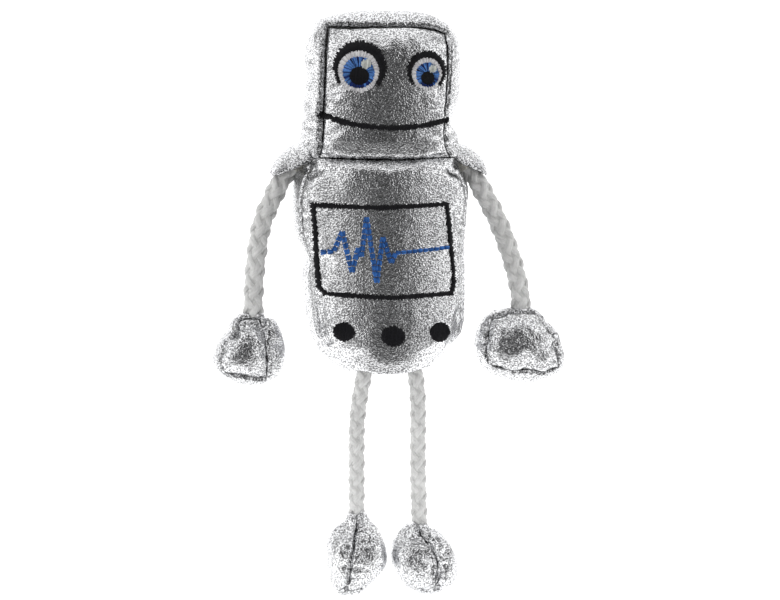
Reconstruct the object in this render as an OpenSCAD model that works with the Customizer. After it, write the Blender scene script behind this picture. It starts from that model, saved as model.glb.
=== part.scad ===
// Soft finger-puppet robot: padded head and trunk, embroidered face and chest, rope limbs.
// Millimetres. +Z is up, the face looks along -Y, and the mouth of the finger sleeve is the origin.
// "right" and "left" are the robot's own: its right side is at -X.

/* [Head] */
// Width of the head across its side gussets
head_w = 49; // [44:0.5:60]
// Height of the head above the neck seam
head_h = 48.5; // [44:0.5:60]
// Depth of the head from face to back
head_d = 32; // [26:0.5:40]
// How far the head gusset stands out past the face panel
head_rim = 3.6; // [2:0.1:5]

/* [Trunk] */
// Width of the trunk below the shoulders
trunk_w = 60; // [56:0.5:74]
// Height of the neck seam above the mouth of the sleeve
neck_z = 68.8; // [64:0.2:84]
// Depth of the trunk from chest to back
trunk_d = 34; // [32:0.5:42]
// How far the side panels stand out past the chest panel
trunk_rim = 4; // [2:0.1:5]
// Half of the trunk's depth that lies in front of the sleeve's axis
chest_y = 21.5; // [20:0.5:26]

/* [Cloth and thread] */
// Thickness of the lined cloth
skin = 0.9; // [0.6:0.1:1.2]
// Gap between the cloth and what is stuffed in it
slack = 0.2; // [0.1:0.05:0.4]
// Height of satin stitching above the cloth
stitch_h = 0.5; // [0.3:0.1:0.9]
// Width of the black satin outline of the chest screen
frame_line = 1.5; // [1:0.1:2.4]
// Width of the black satin mouth
mouth_line_w = 1.3; // [0.8:0.1:2]
// Width of the blue running stitch
pulse_line_w = 1.2; // [0.8:0.1:1.6]

/* [Finger sleeve] */
// Inside radius of the sleeve
sleeve_r = 8.5; // [7.5:0.1:9.5]
// Depth of the sleeve from its mouth
sleeve_len = 60; // [48:1:60]
// Wall of the sleeve
sleeve_wall = 0.8; // [0.6:0.1:1]
// Thickness of the folded hem around the mouth
hem_wall = 1.4; // [1:0.1:1.6]
// Height of the folded hem
hem_h = 3; // [2:0.2:4]

/* [Ropes] */
// Diameter of an arm rope
arm_rope_d = 6.2; // [5:0.1:6.4]
// Diameter of a leg rope
leg_rope_d = 5; // [4:0.1:5.6]
// Thickness of the thread binding on a rope's sewn end
binding_wall = 0.5; // [0.3:0.1:0.6]
// Length of a thread binding
binding_len = 3; // [2:0.2:3.4]
// Gap between a rope and the cloth it passes through
rope_gap = 0.4; // [0.3:0.1:0.8]

/* [Hands and feet] */
// Width of the right hand
right_hand_w = 22.6; // [19:0.2:27]
// Width of the left hand
left_hand_w = 27.8; // [22:0.2:33]
// Height of a hand
hand_h = 24.2; // [20:0.2:29]
// Depth of a hand
hand_d = 16; // [13:0.5:20]
// Width of the right foot
right_foot_w = 18.4; // [15:0.2:18.6]
// Width of the left foot
left_foot_w = 20.6; // [17:0.2:21.4]
// Height of the right foot
right_foot_h = 28; // [23:0.2:33]
// Height of the left foot
left_foot_h = 24.2; // [20:0.2:29]
// Depth of a foot
foot_d = 16.4; // [13:0.2:17]

/* [Hidden] */
$fn = 48;
eps = 0.2;
far = 200;
silver = [0.8, 0.81, 0.83];
cotton = [0.95, 0.94, 0.91];
thread_black = [0.05, 0.05, 0.06];
thread_blue = [0.16, 0.42, 0.85];

trunk_back_y = trunk_d - chest_y;
head_front_y = -chest_y;
head_back_y = head_front_y + head_d;
arm_y = (trunk_back_y - chest_y) / 2;
trunk_bottom = 0.6;
trunk_h = neck_z - trunk_bottom;
puff = 0.27;
mouth_r = sleeve_r + sleeve_wall + hem_wall + 0.3;
arm_r = arm_rope_d / 2;
leg_r = leg_rope_d / 2;
leg_y = -chest_y + skin + 1.6 + leg_r;
rope_sides = 10;

// Rope routes as [x, z], from the sewn end to the end inside the hand or foot.
right_arm_route = [[-26.6, 68.4], [-28.6, 66], [-30.5, 63], [-32.4, 59.5], [-34.3, 55.5], [-36.4, 51],
  [-38.2, 45.5], [-39.3, 39], [-40.1, 32], [-40.5, 25], [-40.6, 19], [-40.6, 14]];
left_arm_route = [[26.6, 68.4], [28.6, 66], [30.6, 63], [32.6, 59.5], [34.8, 55.5], [37.2, 51],
  [39.7, 45.5], [42.2, 39], [44.4, 32], [46, 25], [46.5, 19], [46.5, 14]];
right_leg_route = [[-5.6, 8], [-5.9, 4.5], [-6.3, 1], [-7.2, -4], [-8.2, -10], [-8.8, -17], [-8.9, -25],
  [-8.9, -33], [-8.9, -41], [-9, -48]];
left_leg_route = [[9.4, 8], [9.6, 4.5], [9.9, 1], [10.5, -4], [10.9, -10], [10.9, -18], [10.9, -27],
  [11, -36], [11.3, -45], [11.6, -53]];
right_hand_x = -41.7;
left_hand_x = 45.7;
hand_top = 19.4;
right_foot_x = -9;
left_foot_x = 12.5;
foot_y = -sleeve_r - 0.4 - foot_d / 2;
right_foot_top = -43.5;
left_foot_top = -47.4;

// Half outlines as [half width, height], from the top down, for a width and height of 1.
head_half = [[0.26, 1], [0.41, 0.975], [0.485, 0.88], [0.5, 0.75], [0.5, 0.2], [0.485, 0]];
trunk_half = [[0.35, 1], [0.47, 0.885], [0.5, 0.8], [0.485, 0.58], [0.465, 0.31], [0.42, 0.17],
  [0.34, 0.07], [0.24, 0.018], [0.18, 0]];
hand_half = [[0.2, 1], [0.37, 0.9], [0.47, 0.62], [0.5, 0.32], [0.46, 0.14], [0.3, 0]];
foot_half = [[0.2, 1], [0.32, 0.82], [0.46, 0.5], [0.5, 0.28], [0.44, 0.1], [0.28, 0]];

// A half outline's other side is its mirror image.
function whole(half, w, h) = concat(
  [for (p = half) [p[0] * w, p[1] * h]],
  [for (i = [len(half) - 1 : -1 : 0]) [-half[i][0] * w, half[i][1] * h]]
);

// Extrudes a front-view outline between two depths.
module slab(y0, y1) {
  translate([0, y1, 0]) rotate([90, 0, 0]) linear_extrude(y1 - y0) children();
}

// A sewn bag: flat front and back panels and sides that stand out past them by the rim.
// top and bottom say how much of each inset the ends take.
module bag(half, w, h, y0, y1, rim, inset, top, bottom) {
  deep = (y1 - y0) * puff;
  rings = [[y0 + inset, rim + inset], [y0 + deep, inset], [y1 - deep - eps, inset], [y1 - inset - eps, rim + inset]];
  hull() for (r = rings)
    translate([0, 0, bottom * r[1]]) slab(r[0], r[0] + eps)
      polygon(whole(half, w - 2 * r[1], h - (top + bottom) * r[1]));
}

module head_bag(inset) {
  translate([0, 0, neck_z]) bag(head_half, head_w, head_h, head_front_y, head_back_y, head_rim, inset, 1, 0);
}
module trunk_bag(inset) {
  translate([0, 0, trunk_bottom])
    bag(trunk_half, trunk_w, trunk_h, -chest_y, trunk_back_y, trunk_rim, inset, 0, 1);
}

// The part of a bag between two depths.
module between(y0, y1) {
  intersection() {
    children();
    translate([-far, y0, -far]) cube([2 * far, y1 - y0, 2 * far]);
  }
}
module beside(x0, x1) {
  intersection() {
    children();
    translate([x0, -far, -far]) cube([x1 - x0, 2 * far, 2 * far]);
  }
}

// Head
module face_panel() {
  color(silver) between(head_front_y, head_front_y + skin) head_bag(0);
}
module head_back() {
  color(silver) between(head_back_y - skin, head_back_y) head_bag(0);
}
module head_gusset() {
  color(silver) between(head_front_y + skin, head_back_y - skin) difference() {
    head_bag(0);
    head_bag(skin);
  }
}
module head_stuffing() {
  color("white") translate([0, 0, slack]) head_bag(skin + 2 * slack);
}

// Where a rope's binding is centred, between route points 0 and 1 by the share along.
arm_binding_at = 0.6;
leg_binding_at = 1;
function bound(route, along) = route[0] + along * (route[1] - route[0]);

// Trunk
module leg_holes(r) {
  for (x = [right_leg_route[1][0], left_leg_route[1][0]])
    translate([x, leg_y, -5]) cylinder(r = r, h = 15);
}
// Round notches in the shoulders, in which the arm bindings swing.
module arm_notches(gap) {
  for (route = [right_arm_route, left_arm_route])
    translate([bound(route, arm_binding_at)[0], arm_y, bound(route, arm_binding_at)[1]])
      sphere(r = norm([arm_r + binding_wall, binding_len / 2]) + gap);
}
module trunk_wall() {
  between(-chest_y + skin, trunk_back_y - skin) difference() {
    trunk_bag(0);
    trunk_bag(skin);
    translate([0, 0, -1]) cylinder(r = mouth_r, h = hem_h + 3);
    leg_holes(leg_r + binding_wall + rope_gap);
    arm_notches(rope_gap);
  }
}
module chest_panel() {
  color(silver) between(-chest_y, -chest_y + skin) trunk_bag(0);
}
module trunk_back() {
  color(silver) between(trunk_back_y - skin, trunk_back_y) trunk_bag(0);
}
module right_side_panel() { color(silver) beside(-far, 0) trunk_wall(); }
module left_side_panel() { color(silver) beside(0, far) trunk_wall(); }
module trunk_stuffing() {
  color("white") difference() {
    translate([0, 0, -slack]) trunk_bag(skin + 2 * slack);
    translate([0, 0, -1]) cylinder(r = sleeve_r + sleeve_wall + slack, h = sleeve_len + sleeve_wall + 1 + slack);
    translate([0, 0, -1]) cylinder(r = mouth_r, h = hem_h + 3);
    leg_holes(leg_r + binding_wall + 2 * rope_gap + 0.4);
    arm_notches(2 * rope_gap);
  }
}
module hem_binding() {
  color(silver) difference() {
    cylinder(r = sleeve_r + sleeve_wall + hem_wall, h = hem_h);
    translate([0, 0, -1]) cylinder(r = sleeve_r + sleeve_wall, h = hem_h + 2);
  }
}
module finger_sleeve() {
  color("gainsboro") difference() {
    cylinder(r = sleeve_r + sleeve_wall, h = sleeve_len + sleeve_wall);
    translate([0, 0, -1]) cylinder(r = sleeve_r, h = sleeve_len + 1);
  }
}

// A cap is a quarter dome of cloth over the sewn end of an arm rope.
cap_wall = 0.7;
cap_r = 11.4;
cap_x = 23.5;
cap_z = neck_z - 6.1;
module shoulder_cap(side) {
  color(silver) difference() {
    translate([side * cap_x, arm_y, cap_z]) sphere(r = cap_r);
    translate([side * cap_x, arm_y, cap_z]) sphere(r = cap_r - cap_wall);
    translate([-far, -far, cap_z - far]) cube([2 * far, 2 * far, far]);
    translate([side > 0 ? -far : -head_w / 2 - slack, -far, 0]) cube([far + head_w / 2 + slack, 2 * far, far]);
    trunk_bag(-0.1);
  }
}
module right_shoulder_cap() { shoulder_cap(-1); }
module left_shoulder_cap() { shoulder_cap(1); }

// Eye embroidery: a satin lid over a white disc, with the iris, pupil and glint set into each other.
// Each disc is [x, height above the neck seam, radius].
right_eye = [[-8.5, 28.3, 8.2], [-8.9, 27, 6.5], [-8.9, 26.7, 5], [-8.7, 25.6, 3], [-6.6, 29.3, 1.55]];
left_eye = [[12.8, 27.1, 6.3], [12.7, 26.3, 5.1], [12.9, 26, 3.9], [13, 24.9, 2.2], [14.6, 27.8, 1.25]];
lid_drop = 0.72;
module disc(d) { translate([d[0], neck_z + d[1]]) circle(r = d[2]); }
module on_face(tint) {
  color(tint) slab(head_front_y - stitch_h, head_front_y) children();
}
module eye_lid(eye) {
  on_face(thread_black) difference() {
    disc(eye[0]);
    disc(eye[1]);
    translate([eye[0][0] - far, neck_z + eye[0][1] - lid_drop * eye[0][2] - far]) square([2 * far, far]);
  }
}
// Ring number k of an eye, less every ring set into it.
module eye_ring(eye, k, tint) {
  on_face(tint) difference() {
    disc(eye[k]);
    if (k < 4) for (inner = [k + 1 : 4]) disc(eye[inner]);
  }
}
module right_eye_lid() { eye_lid(right_eye); }
module right_eye_white() { eye_ring(right_eye, 1, "white"); }
module right_iris() { eye_ring(right_eye, 2, thread_blue); }
module right_pupil() { eye_ring(right_eye, 3, thread_black); }
module right_glint() { eye_ring(right_eye, 4, "white"); }
module left_eye_lid() { eye_lid(left_eye); }
module left_eye_white() { eye_ring(left_eye, 1, "white"); }
module left_iris() { eye_ring(left_eye, 2, thread_blue); }
module left_pupil() { eye_ring(left_eye, 3, thread_black); }
module left_glint() { eye_ring(left_eye, 4, "white"); }

// A line of points moved sideways by d, with mitred corners.
function unit(v) = v / norm(v);
function moved(points, d, closed) =
  let (n = len(points))
    [for (i = [0 : n - 1])
      let (
        before = points[closed ? (i + n - 1) % n : max(i - 1, 0)],
        after = points[closed ? (i + 1) % n : min(i + 1, n - 1)],
        came = unit(i == 0 && !closed ? after - points[i] : points[i] - before),
        goes = unit(i == n - 1 && !closed ? points[i] - before : after - points[i]),
        mitre = unit([-came[1] - goes[1], came[0] + goes[0]])
      )
        points[i] + mitre * d / (mitre * [-came[1], came[0]])];
mouth_points = [[-20.4, 13.6], [-11, 10.6], [0.5, 9.4], [11, 10], [19.8, 11.8]];
module mouth() {
  line = [for (p = mouth_points) [p[0], neck_z + p[1]]];
  under = moved(line, -mouth_line_w / 2, false);
  on_face(thread_black)
    polygon(concat(moved(line, mouth_line_w / 2, false), [for (i = [len(under) - 1 : -1 : 0]) under[i]]));
}

// Chest embroidery, placed down from the neck seam as [x, drop].
module on_chest(tint) {
  color(tint) slab(-chest_y - stitch_h, -chest_y) children();
}
function dropped(points) = [for (p = points) [p[0], neck_z - p[1]]];
screen_points = [[-22.8, 14.8], [-2, 15.6], [19.6, 14.7], [22.3, 39.3], [21.2, 43], [1, 43.9], [-19.3, 42.7],
  [-20.9, 40.6]];
pulse_points = [[-20.6, 29.8], [-16.6, 29.3], [-14.1, 22.9], [-11.1, 35.9], [-9.2, 28], [-8.2, 31], [-6.6, 18.4],
  [-3.4, 39.2], [-1.5, 24.7], [1.2, 33], [2.6, 29.8], [20.6, 28.4]];
pulse_stitch = 2.6;
pulse_space = 0.7;
dots = [[-13.6, 54.6, 3.1], [1.8, 56, 3.4], [17.3, 55.2, 3.1]];
module screen_frame() {
  on_chest(thread_black) difference() {
    polygon(moved(dropped(screen_points), frame_line / 2, true));
    polygon(moved(dropped(screen_points), -frame_line / 2, true));
  }
}
// Running stitches, laid end to end along each straight of the pulse with a space between them.
module pulse_line() {
  p = dropped(pulse_points);
  on_chest(thread_blue) for (i = [0 : len(p) - 2]) {
    run = p[i + 1] - p[i];
    length = norm(run) - pulse_line_w;
    count = max(1, round(length / (pulse_stitch + pulse_space)));
    step = length / count;
    translate(p[i]) rotate(atan2(run[1], run[0])) for (k = [0 : count - 1])
      translate([pulse_line_w / 2 + k * step + pulse_space / 2, -pulse_line_w / 2])
        square([step - pulse_space, pulse_line_w]);
  }
}
module chest_dots() {
  on_chest(thread_black) for (d = dots) translate([d[0], neck_z - d[1]]) circle(r = d[2]);
}

// A rope swept along its route, which lies in one plane at the depth y.
function heading(route, i) =
  let (a = route[max(i - 1, 0)], b = route[min(i + 1, len(route) - 1)]) (b - a) / norm(b - a);
function rope_ring(route, i, y, r) =
  let (t = heading(route, i), side = [t[1], 0, -t[0]], at = [route[i][0], y, route[i][1]])
    [for (k = [0 : rope_sides - 1])
      let (a = 360 * k / rope_sides) at + r * (cos(a) * side + sin(a) * [0, 1, 0])];
module rope(route, y, d) {
  n = len(route);
  s = rope_sides;
  color(cotton) polyhedron(
    points = [for (i = [0 : n - 1]) each rope_ring(route, i, y, d / 2)],
    faces = concat(
      [[for (k = [0 : s - 1]) k]],
      [for (i = [0 : n - 2], k = [0 : s - 1])
        let (a = i * s + k, b = i * s + (k + 1) % s) each [[a, a + s, b], [b, a + s, b + s]]],
      [[for (k = [s - 1 : -1 : 0]) (n - 1) * s + k]]
    )
  );
}
// Thread wound round the rope near its sewn end.
module binding(route, y, d, along) {
  run = route[1] - route[0];
  at = bound(route, along);
  color("ivory") translate([at[0], y, at[1]]) rotate([0, atan2(run[0], run[1]), 0]) difference() {
    cylinder(r = d / 2 + binding_wall, h = binding_len, center = true);
    cylinder(r = d / 2 + 0.05, h = binding_len + 1, center = true);
  }
}
module right_arm_binding() { binding(right_arm_route, arm_y, arm_rope_d, arm_binding_at); }
module right_arm_rope() { rope(right_arm_route, arm_y, arm_rope_d); }
module left_arm_binding() { binding(left_arm_route, arm_y, arm_rope_d, arm_binding_at); }
module left_arm_rope() { rope(left_arm_route, arm_y, arm_rope_d); }
module right_leg_binding() { binding(right_leg_route, leg_y, leg_rope_d, leg_binding_at); }
module right_leg_rope() { rope(right_leg_route, leg_y, leg_rope_d); }
module left_leg_binding() { binding(left_leg_route, leg_y, leg_rope_d, leg_binding_at); }
module left_leg_rope() { rope(left_leg_route, leg_y, leg_rope_d); }

// Hands: front and back panels joined by one gusset, closed round the rope at the top.
hand_rim = 1.8;
stub_gap = 1.5;
module hand_bag(w, inset) {
  translate([0, 0, hand_top - hand_h])
    bag(hand_half, w, hand_h, arm_y - hand_d / 2, arm_y + hand_d / 2, hand_rim, inset, 1, 1);
}
// The room that a rope's end takes inside a bag.
module rope_room(route, y, r) {
  n = len(route);
  translate([route[n - 1][0], y, route[n - 1][1] - stub_gap]) cylinder(r = r + rope_gap, h = 20);
}
module hand_shell(x, w, route, y0, y1) {
  difference() {
    translate([x, 0, 0]) between(y0, y1) difference() {
      hand_bag(w, 0);
      hand_bag(w, skin);
    }
    rope_room(route, arm_y, arm_r);
  }
}
module hand_front(x, w) {
  color(silver) translate([x, 0, 0]) between(arm_y - hand_d / 2, arm_y - hand_d / 2 + skin) hand_bag(w, 0);
}
module hand_back(x, w) {
  color(silver) translate([x, 0, 0]) between(arm_y + hand_d / 2 - skin, arm_y + hand_d / 2) hand_bag(w, 0);
}
module hand_gusset(x, w, route) {
  color(silver) hand_shell(x, w, route, arm_y - hand_d / 2 + skin, arm_y + hand_d / 2 - skin);
}
module hand_stuffing(x, w, route) {
  color("white") difference() {
    translate([x, 0, 0]) hand_bag(w, skin + slack);
    rope_room(route, arm_y, arm_r);
  }
}
module right_hand_front() { hand_front(right_hand_x, right_hand_w); }
module right_hand_back() { hand_back(right_hand_x, right_hand_w); }
module right_hand_gusset() { hand_gusset(right_hand_x, right_hand_w, right_arm_route); }
module right_hand_stuffing() { hand_stuffing(right_hand_x, right_hand_w, right_arm_route); }
module left_hand_front() { hand_front(left_hand_x, left_hand_w); }
module left_hand_back() { hand_back(left_hand_x, left_hand_w); }
module left_hand_gusset() { hand_gusset(left_hand_x, left_hand_w, left_arm_route); }
module left_hand_stuffing() { hand_stuffing(left_hand_x, left_hand_w, left_arm_route); }

// Feet: inner and outer panels that meet at a seam down the middle, and a sole.
foot_rim = 3.4;
module foot_bag(x, w, h, top, inset) {
  translate([x, 0, top - h])
    bag(foot_half, w, h, foot_y - foot_d / 2, foot_y + foot_d / 2, foot_rim, inset, 1, 1);
}
module above(z) {
  intersection() {
    children();
    translate([-far, -far, z]) cube(2 * far);
  }
}
module foot_wall(x, w, h, top, route, x0, x1) {
  color(silver) beside(x0, x1) above(top - h + skin) difference() {
    foot_bag(x, w, h, top, 0);
    foot_bag(x, w, h, top, skin);
    rope_room(route, leg_y, leg_r);
  }
}
module foot_sole(x, w, h, top) {
  color(silver) difference() {
    foot_bag(x, w, h, top, 0);
    translate([-far, -far, top - h + skin]) cube(2 * far);
  }
}
module foot_stuffing(x, w, h, top, route) {
  color("white") difference() {
    foot_bag(x, w, h, top, skin + slack);
    rope_room(route, leg_y, leg_r);
  }
}
module right_foot_wall(x0, x1) {
  foot_wall(right_foot_x, right_foot_w, right_foot_h, right_foot_top, right_leg_route, x0, x1);
}
module left_foot_wall(x0, x1) {
  foot_wall(left_foot_x, left_foot_w, left_foot_h, left_foot_top, left_leg_route, x0, x1);
}
module right_foot_outer() { right_foot_wall(-far, right_foot_x); }
module right_foot_inner() { right_foot_wall(right_foot_x, far); }
module right_foot_sole() { foot_sole(right_foot_x, right_foot_w, right_foot_h, right_foot_top); }
module right_foot_stuffing() {
  foot_stuffing(right_foot_x, right_foot_w, right_foot_h, right_foot_top, right_leg_route);
}
module left_foot_outer() { left_foot_wall(left_foot_x, far); }
module left_foot_inner() { left_foot_wall(-far, left_foot_x); }
module left_foot_sole() { foot_sole(left_foot_x, left_foot_w, left_foot_h, left_foot_top); }
module left_foot_stuffing() {
  foot_stuffing(left_foot_x, left_foot_w, left_foot_h, left_foot_top, left_leg_route);
}

face_panel();
head_gusset();
head_back();
chest_panel();
right_side_panel();
left_side_panel();
trunk_back();
right_shoulder_cap();
left_shoulder_cap();
hem_binding();
finger_sleeve();
head_stuffing();
trunk_stuffing();
right_eye_lid();
right_eye_white();
right_iris();
right_pupil();
right_glint();
left_eye_lid();
left_eye_white();
left_iris();
left_pupil();
left_glint();
mouth();
screen_frame();
pulse_line();
chest_dots();
right_arm_binding();
right_arm_rope();
left_arm_binding();
left_arm_rope();
right_hand_front();
right_hand_back();
right_hand_gusset();
right_hand_stuffing();
left_hand_front();
left_hand_back();
left_hand_gusset();
left_hand_stuffing();
right_leg_binding();
right_leg_rope();
left_leg_binding();
left_leg_rope();
right_foot_outer();
right_foot_inner();
right_foot_sole();
right_foot_stuffing();
left_foot_outer();
left_foot_inner();
left_foot_sole();
left_foot_stuffing();
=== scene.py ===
import math

import bmesh
import bpy
import numpy as np
from bpy.props import FloatProperty, FloatVectorProperty, IntProperty, PointerProperty
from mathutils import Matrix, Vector
from mathutils.bvhtree import BVHTree
from mathutils.kdtree import KDTree


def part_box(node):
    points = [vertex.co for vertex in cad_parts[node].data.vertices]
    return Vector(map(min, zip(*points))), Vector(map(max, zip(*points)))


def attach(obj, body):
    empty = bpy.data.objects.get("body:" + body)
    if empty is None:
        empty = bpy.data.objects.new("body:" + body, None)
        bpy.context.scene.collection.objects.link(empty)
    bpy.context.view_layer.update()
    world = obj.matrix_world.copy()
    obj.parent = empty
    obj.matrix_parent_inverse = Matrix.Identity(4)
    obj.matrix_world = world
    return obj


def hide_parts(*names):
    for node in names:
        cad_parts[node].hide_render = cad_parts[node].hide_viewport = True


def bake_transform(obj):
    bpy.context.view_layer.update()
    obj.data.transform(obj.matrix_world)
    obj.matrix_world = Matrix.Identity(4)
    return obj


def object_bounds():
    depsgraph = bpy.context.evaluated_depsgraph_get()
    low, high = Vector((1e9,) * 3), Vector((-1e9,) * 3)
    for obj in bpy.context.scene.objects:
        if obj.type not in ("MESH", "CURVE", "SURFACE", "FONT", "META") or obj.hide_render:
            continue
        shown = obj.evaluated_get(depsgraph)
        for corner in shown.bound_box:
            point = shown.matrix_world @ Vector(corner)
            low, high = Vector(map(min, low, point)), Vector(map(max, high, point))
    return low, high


bl_info = {
    "name": "Sewn Robot Finger Puppet",
    "version": (1, 0, 0),
    "blender": (4, 5, 0),
    "location": "View3D > Sidebar > Puppet",
    "description": "Sews the cloth, ropes and embroidery of a silver robot finger puppet",
    "category": "Object",
}

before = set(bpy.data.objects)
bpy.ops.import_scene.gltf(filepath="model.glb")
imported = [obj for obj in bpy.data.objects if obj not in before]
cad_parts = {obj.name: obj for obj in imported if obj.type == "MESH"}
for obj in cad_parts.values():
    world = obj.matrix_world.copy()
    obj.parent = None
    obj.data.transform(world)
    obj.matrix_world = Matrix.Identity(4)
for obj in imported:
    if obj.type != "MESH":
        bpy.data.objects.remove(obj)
CAD_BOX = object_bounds()
MM = 0.001


def box_mm(*nodes):
    """The box that these CAD nodes fill, in millimetres."""
    corners = [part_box(n) for n in nodes]
    low = np.min([np.array(c[0]) for c in corners], axis=0)
    high = np.max([np.array(c[1]) for c in corners], axis=0)
    return low / MM, high / MM


# Properties


class PUPPET_PG_cloth(bpy.types.PropertyGroup):
    silver: FloatVectorProperty(name="Silver", description="Colour of the metallic cloth", subtype="COLOR",
                                size=4, default=(0.86, 0.865, 0.88, 1.0), min=0, max=1)
    thickness: FloatProperty(name="Cloth thickness", description="Thickness of the lined cloth, mm",
                             default=0.55, min=0.2, max=1.2)
    groove: FloatProperty(name="Seam groove", description="How deep a seam pulls in, mm",
                          default=0.6, min=0, max=2)
    welt: FloatProperty(name="Seam welt", description="Height of the seam allowance under the cloth, mm",
                        default=0.95, min=0, max=1.5)
    pucker: FloatProperty(name="Puckers", description="Height of the gathers beside a seam, mm",
                          default=0.4, min=0, max=1.5)
    pressure: FloatProperty(name="Stuffing pressure", description="Pressure of the fill in the simulation",
                            default=3.0, min=0, max=10)
    frames: IntProperty(name="Settling frames", description="Frames of cloth simulation",
                        default=22, min=1, max=60)


class PUPPET_PG_thread(bpy.types.PropertyGroup):
    black: FloatVectorProperty(name="Black thread", description="Colour of the black satin stitch",
                               subtype="COLOR", size=4, default=(0.008, 0.008, 0.010, 1.0), min=0, max=1)
    blue: FloatVectorProperty(name="Blue thread", description="Colour of the blue stitches", subtype="COLOR",
                              size=4, default=(0.035, 0.13, 0.40, 1.0), min=0, max=1)
    white: FloatVectorProperty(name="White thread", description="Colour of the white stitches", subtype="COLOR",
                               size=4, default=(0.86, 0.82, 0.87, 1.0), min=0, max=1)
    width: FloatProperty(name="Thread width", description="Diameter of an embroidery thread, mm",
                         default=0.5, min=0.1, max=1)
    pitch: FloatProperty(name="Stitch pitch", description="Distance between satin stitches, mm",
                         default=0.42, min=0.15, max=1)


class PUPPET_PG_rope(bpy.types.PropertyGroup):
    cotton: FloatVectorProperty(name="Cotton", description="Colour of the braided rope", subtype="COLOR",
                                size=4, default=(0.93, 0.93, 0.92, 1.0), min=0, max=1)
    arm: FloatProperty(name="Arm rope", description="Diameter of an arm rope",
                       default=0.0062, min=0.002, max=0.01, unit="LENGTH")
    leg: FloatProperty(name="Leg rope", description="Diameter of a leg rope",
                       default=0.005, min=0.002, max=0.01, unit="LENGTH")
    plait: FloatProperty(name="Plait length", description="Length of one turn of a strand, in rope diameters",
                         default=4.2, min=1, max=8)


# Numbers, curves and noise


def smooth_through(points, count):
    """count points spaced evenly along a smooth curve through the given ones."""
    p = np.array(points, float)
    p = np.vstack([2 * p[0] - p[1], p, 2 * p[-1] - p[-2]])
    out = []
    for a, b, c, d in zip(p, p[1:], p[2:], p[3:]):
        for t in np.linspace(0, 1, 24, endpoint=False):
            out.append(0.5 * (2 * b + (c - a) * t + (2 * a - 5 * b + 4 * c - d) * t ** 2
                              + (3 * b - a - 3 * c + d) * t ** 3))
    out.append(p[-2])
    out = np.array(out)
    run = np.concatenate([[0], np.cumsum(np.linalg.norm(np.diff(out, axis=0), axis=1))])
    at = np.linspace(0, run[-1], count)
    return np.stack([np.interp(at, run, out[:, k]) for k in range(out.shape[1])], axis=1)


def waves(points, wavelength, seed, count=9):
    """Smooth seeded noise of about -1 to 1: a sum of waves in random directions."""
    rng = np.random.default_rng(seed)
    total = np.zeros(len(points))
    for _ in range(count):
        way = rng.normal(size=3)
        way *= 2 * math.pi / (wavelength * rng.uniform(0.7, 1.5)) / np.linalg.norm(way)
        total += np.sin(points @ way + rng.uniform(0, 2 * math.pi))
    return total / math.sqrt(count)


# Meshes


def link(name, mesh):
    obj = bpy.data.objects.new(name, mesh)
    bpy.context.scene.collection.objects.link(obj)
    return obj


def mesh_piece(name, points_mm, faces, material, smooth=True):
    mesh = bpy.data.meshes.new(name)
    mesh.from_pydata([tuple(p) for p in np.asarray(points_mm) * MM], [], [tuple(f) for f in faces])
    mesh.update()
    if smooth:
        mesh.polygons.foreach_set("use_smooth", [True] * len(mesh.polygons))
    mesh.materials.append(material)
    return link(name, mesh)


def coords(mesh):
    flat = np.empty(len(mesh.vertices) * 3)
    mesh.vertices.foreach_get("co", flat)
    return flat.reshape(-1, 3)


def normals(mesh):
    flat = np.empty(len(mesh.vertices) * 3)
    mesh.vertex_normals.foreach_get("vector", flat)
    return flat.reshape(-1, 3)


def put_coords(mesh, points):
    mesh.vertices.foreach_set("co", np.ascontiguousarray(points).ravel())
    mesh.update()


def add_attribute(mesh, name, values):
    layer = mesh.attributes.new(name, "FLOAT", "POINT")
    layer.data.foreach_set("value", np.asarray(values, float))


def drop(obj):
    mesh = obj.data
    bpy.data.objects.remove(obj)
    if mesh and not mesh.users:
        bpy.data.meshes.remove(mesh)


def applied(obj):
    """The object's mesh with its modifiers applied."""
    bpy.context.view_layer.update()
    deps = bpy.context.evaluated_depsgraph_get()
    return bpy.data.meshes.new_from_object(obj.evaluated_get(deps), preserve_all_data_layers=True,
                                           depsgraph=deps)


def finish_piece(obj, body, nodes):
    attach(obj, body)
    if nodes:
        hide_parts(*nodes)


# Geometry Nodes


def node_tree(name, inputs):
    tree = bpy.data.node_groups.new(name, "GeometryNodeTree")
    tree.interface.new_socket("Geometry", in_out="INPUT", socket_type="NodeSocketGeometry")
    for label, kind, value in inputs:
        socket = tree.interface.new_socket(label, in_out="INPUT", socket_type=kind)
        if value is not None:
            socket.default_value = value
    tree.interface.new_socket("Geometry", in_out="OUTPUT", socket_type="NodeSocketGeometry")
    return tree


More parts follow.
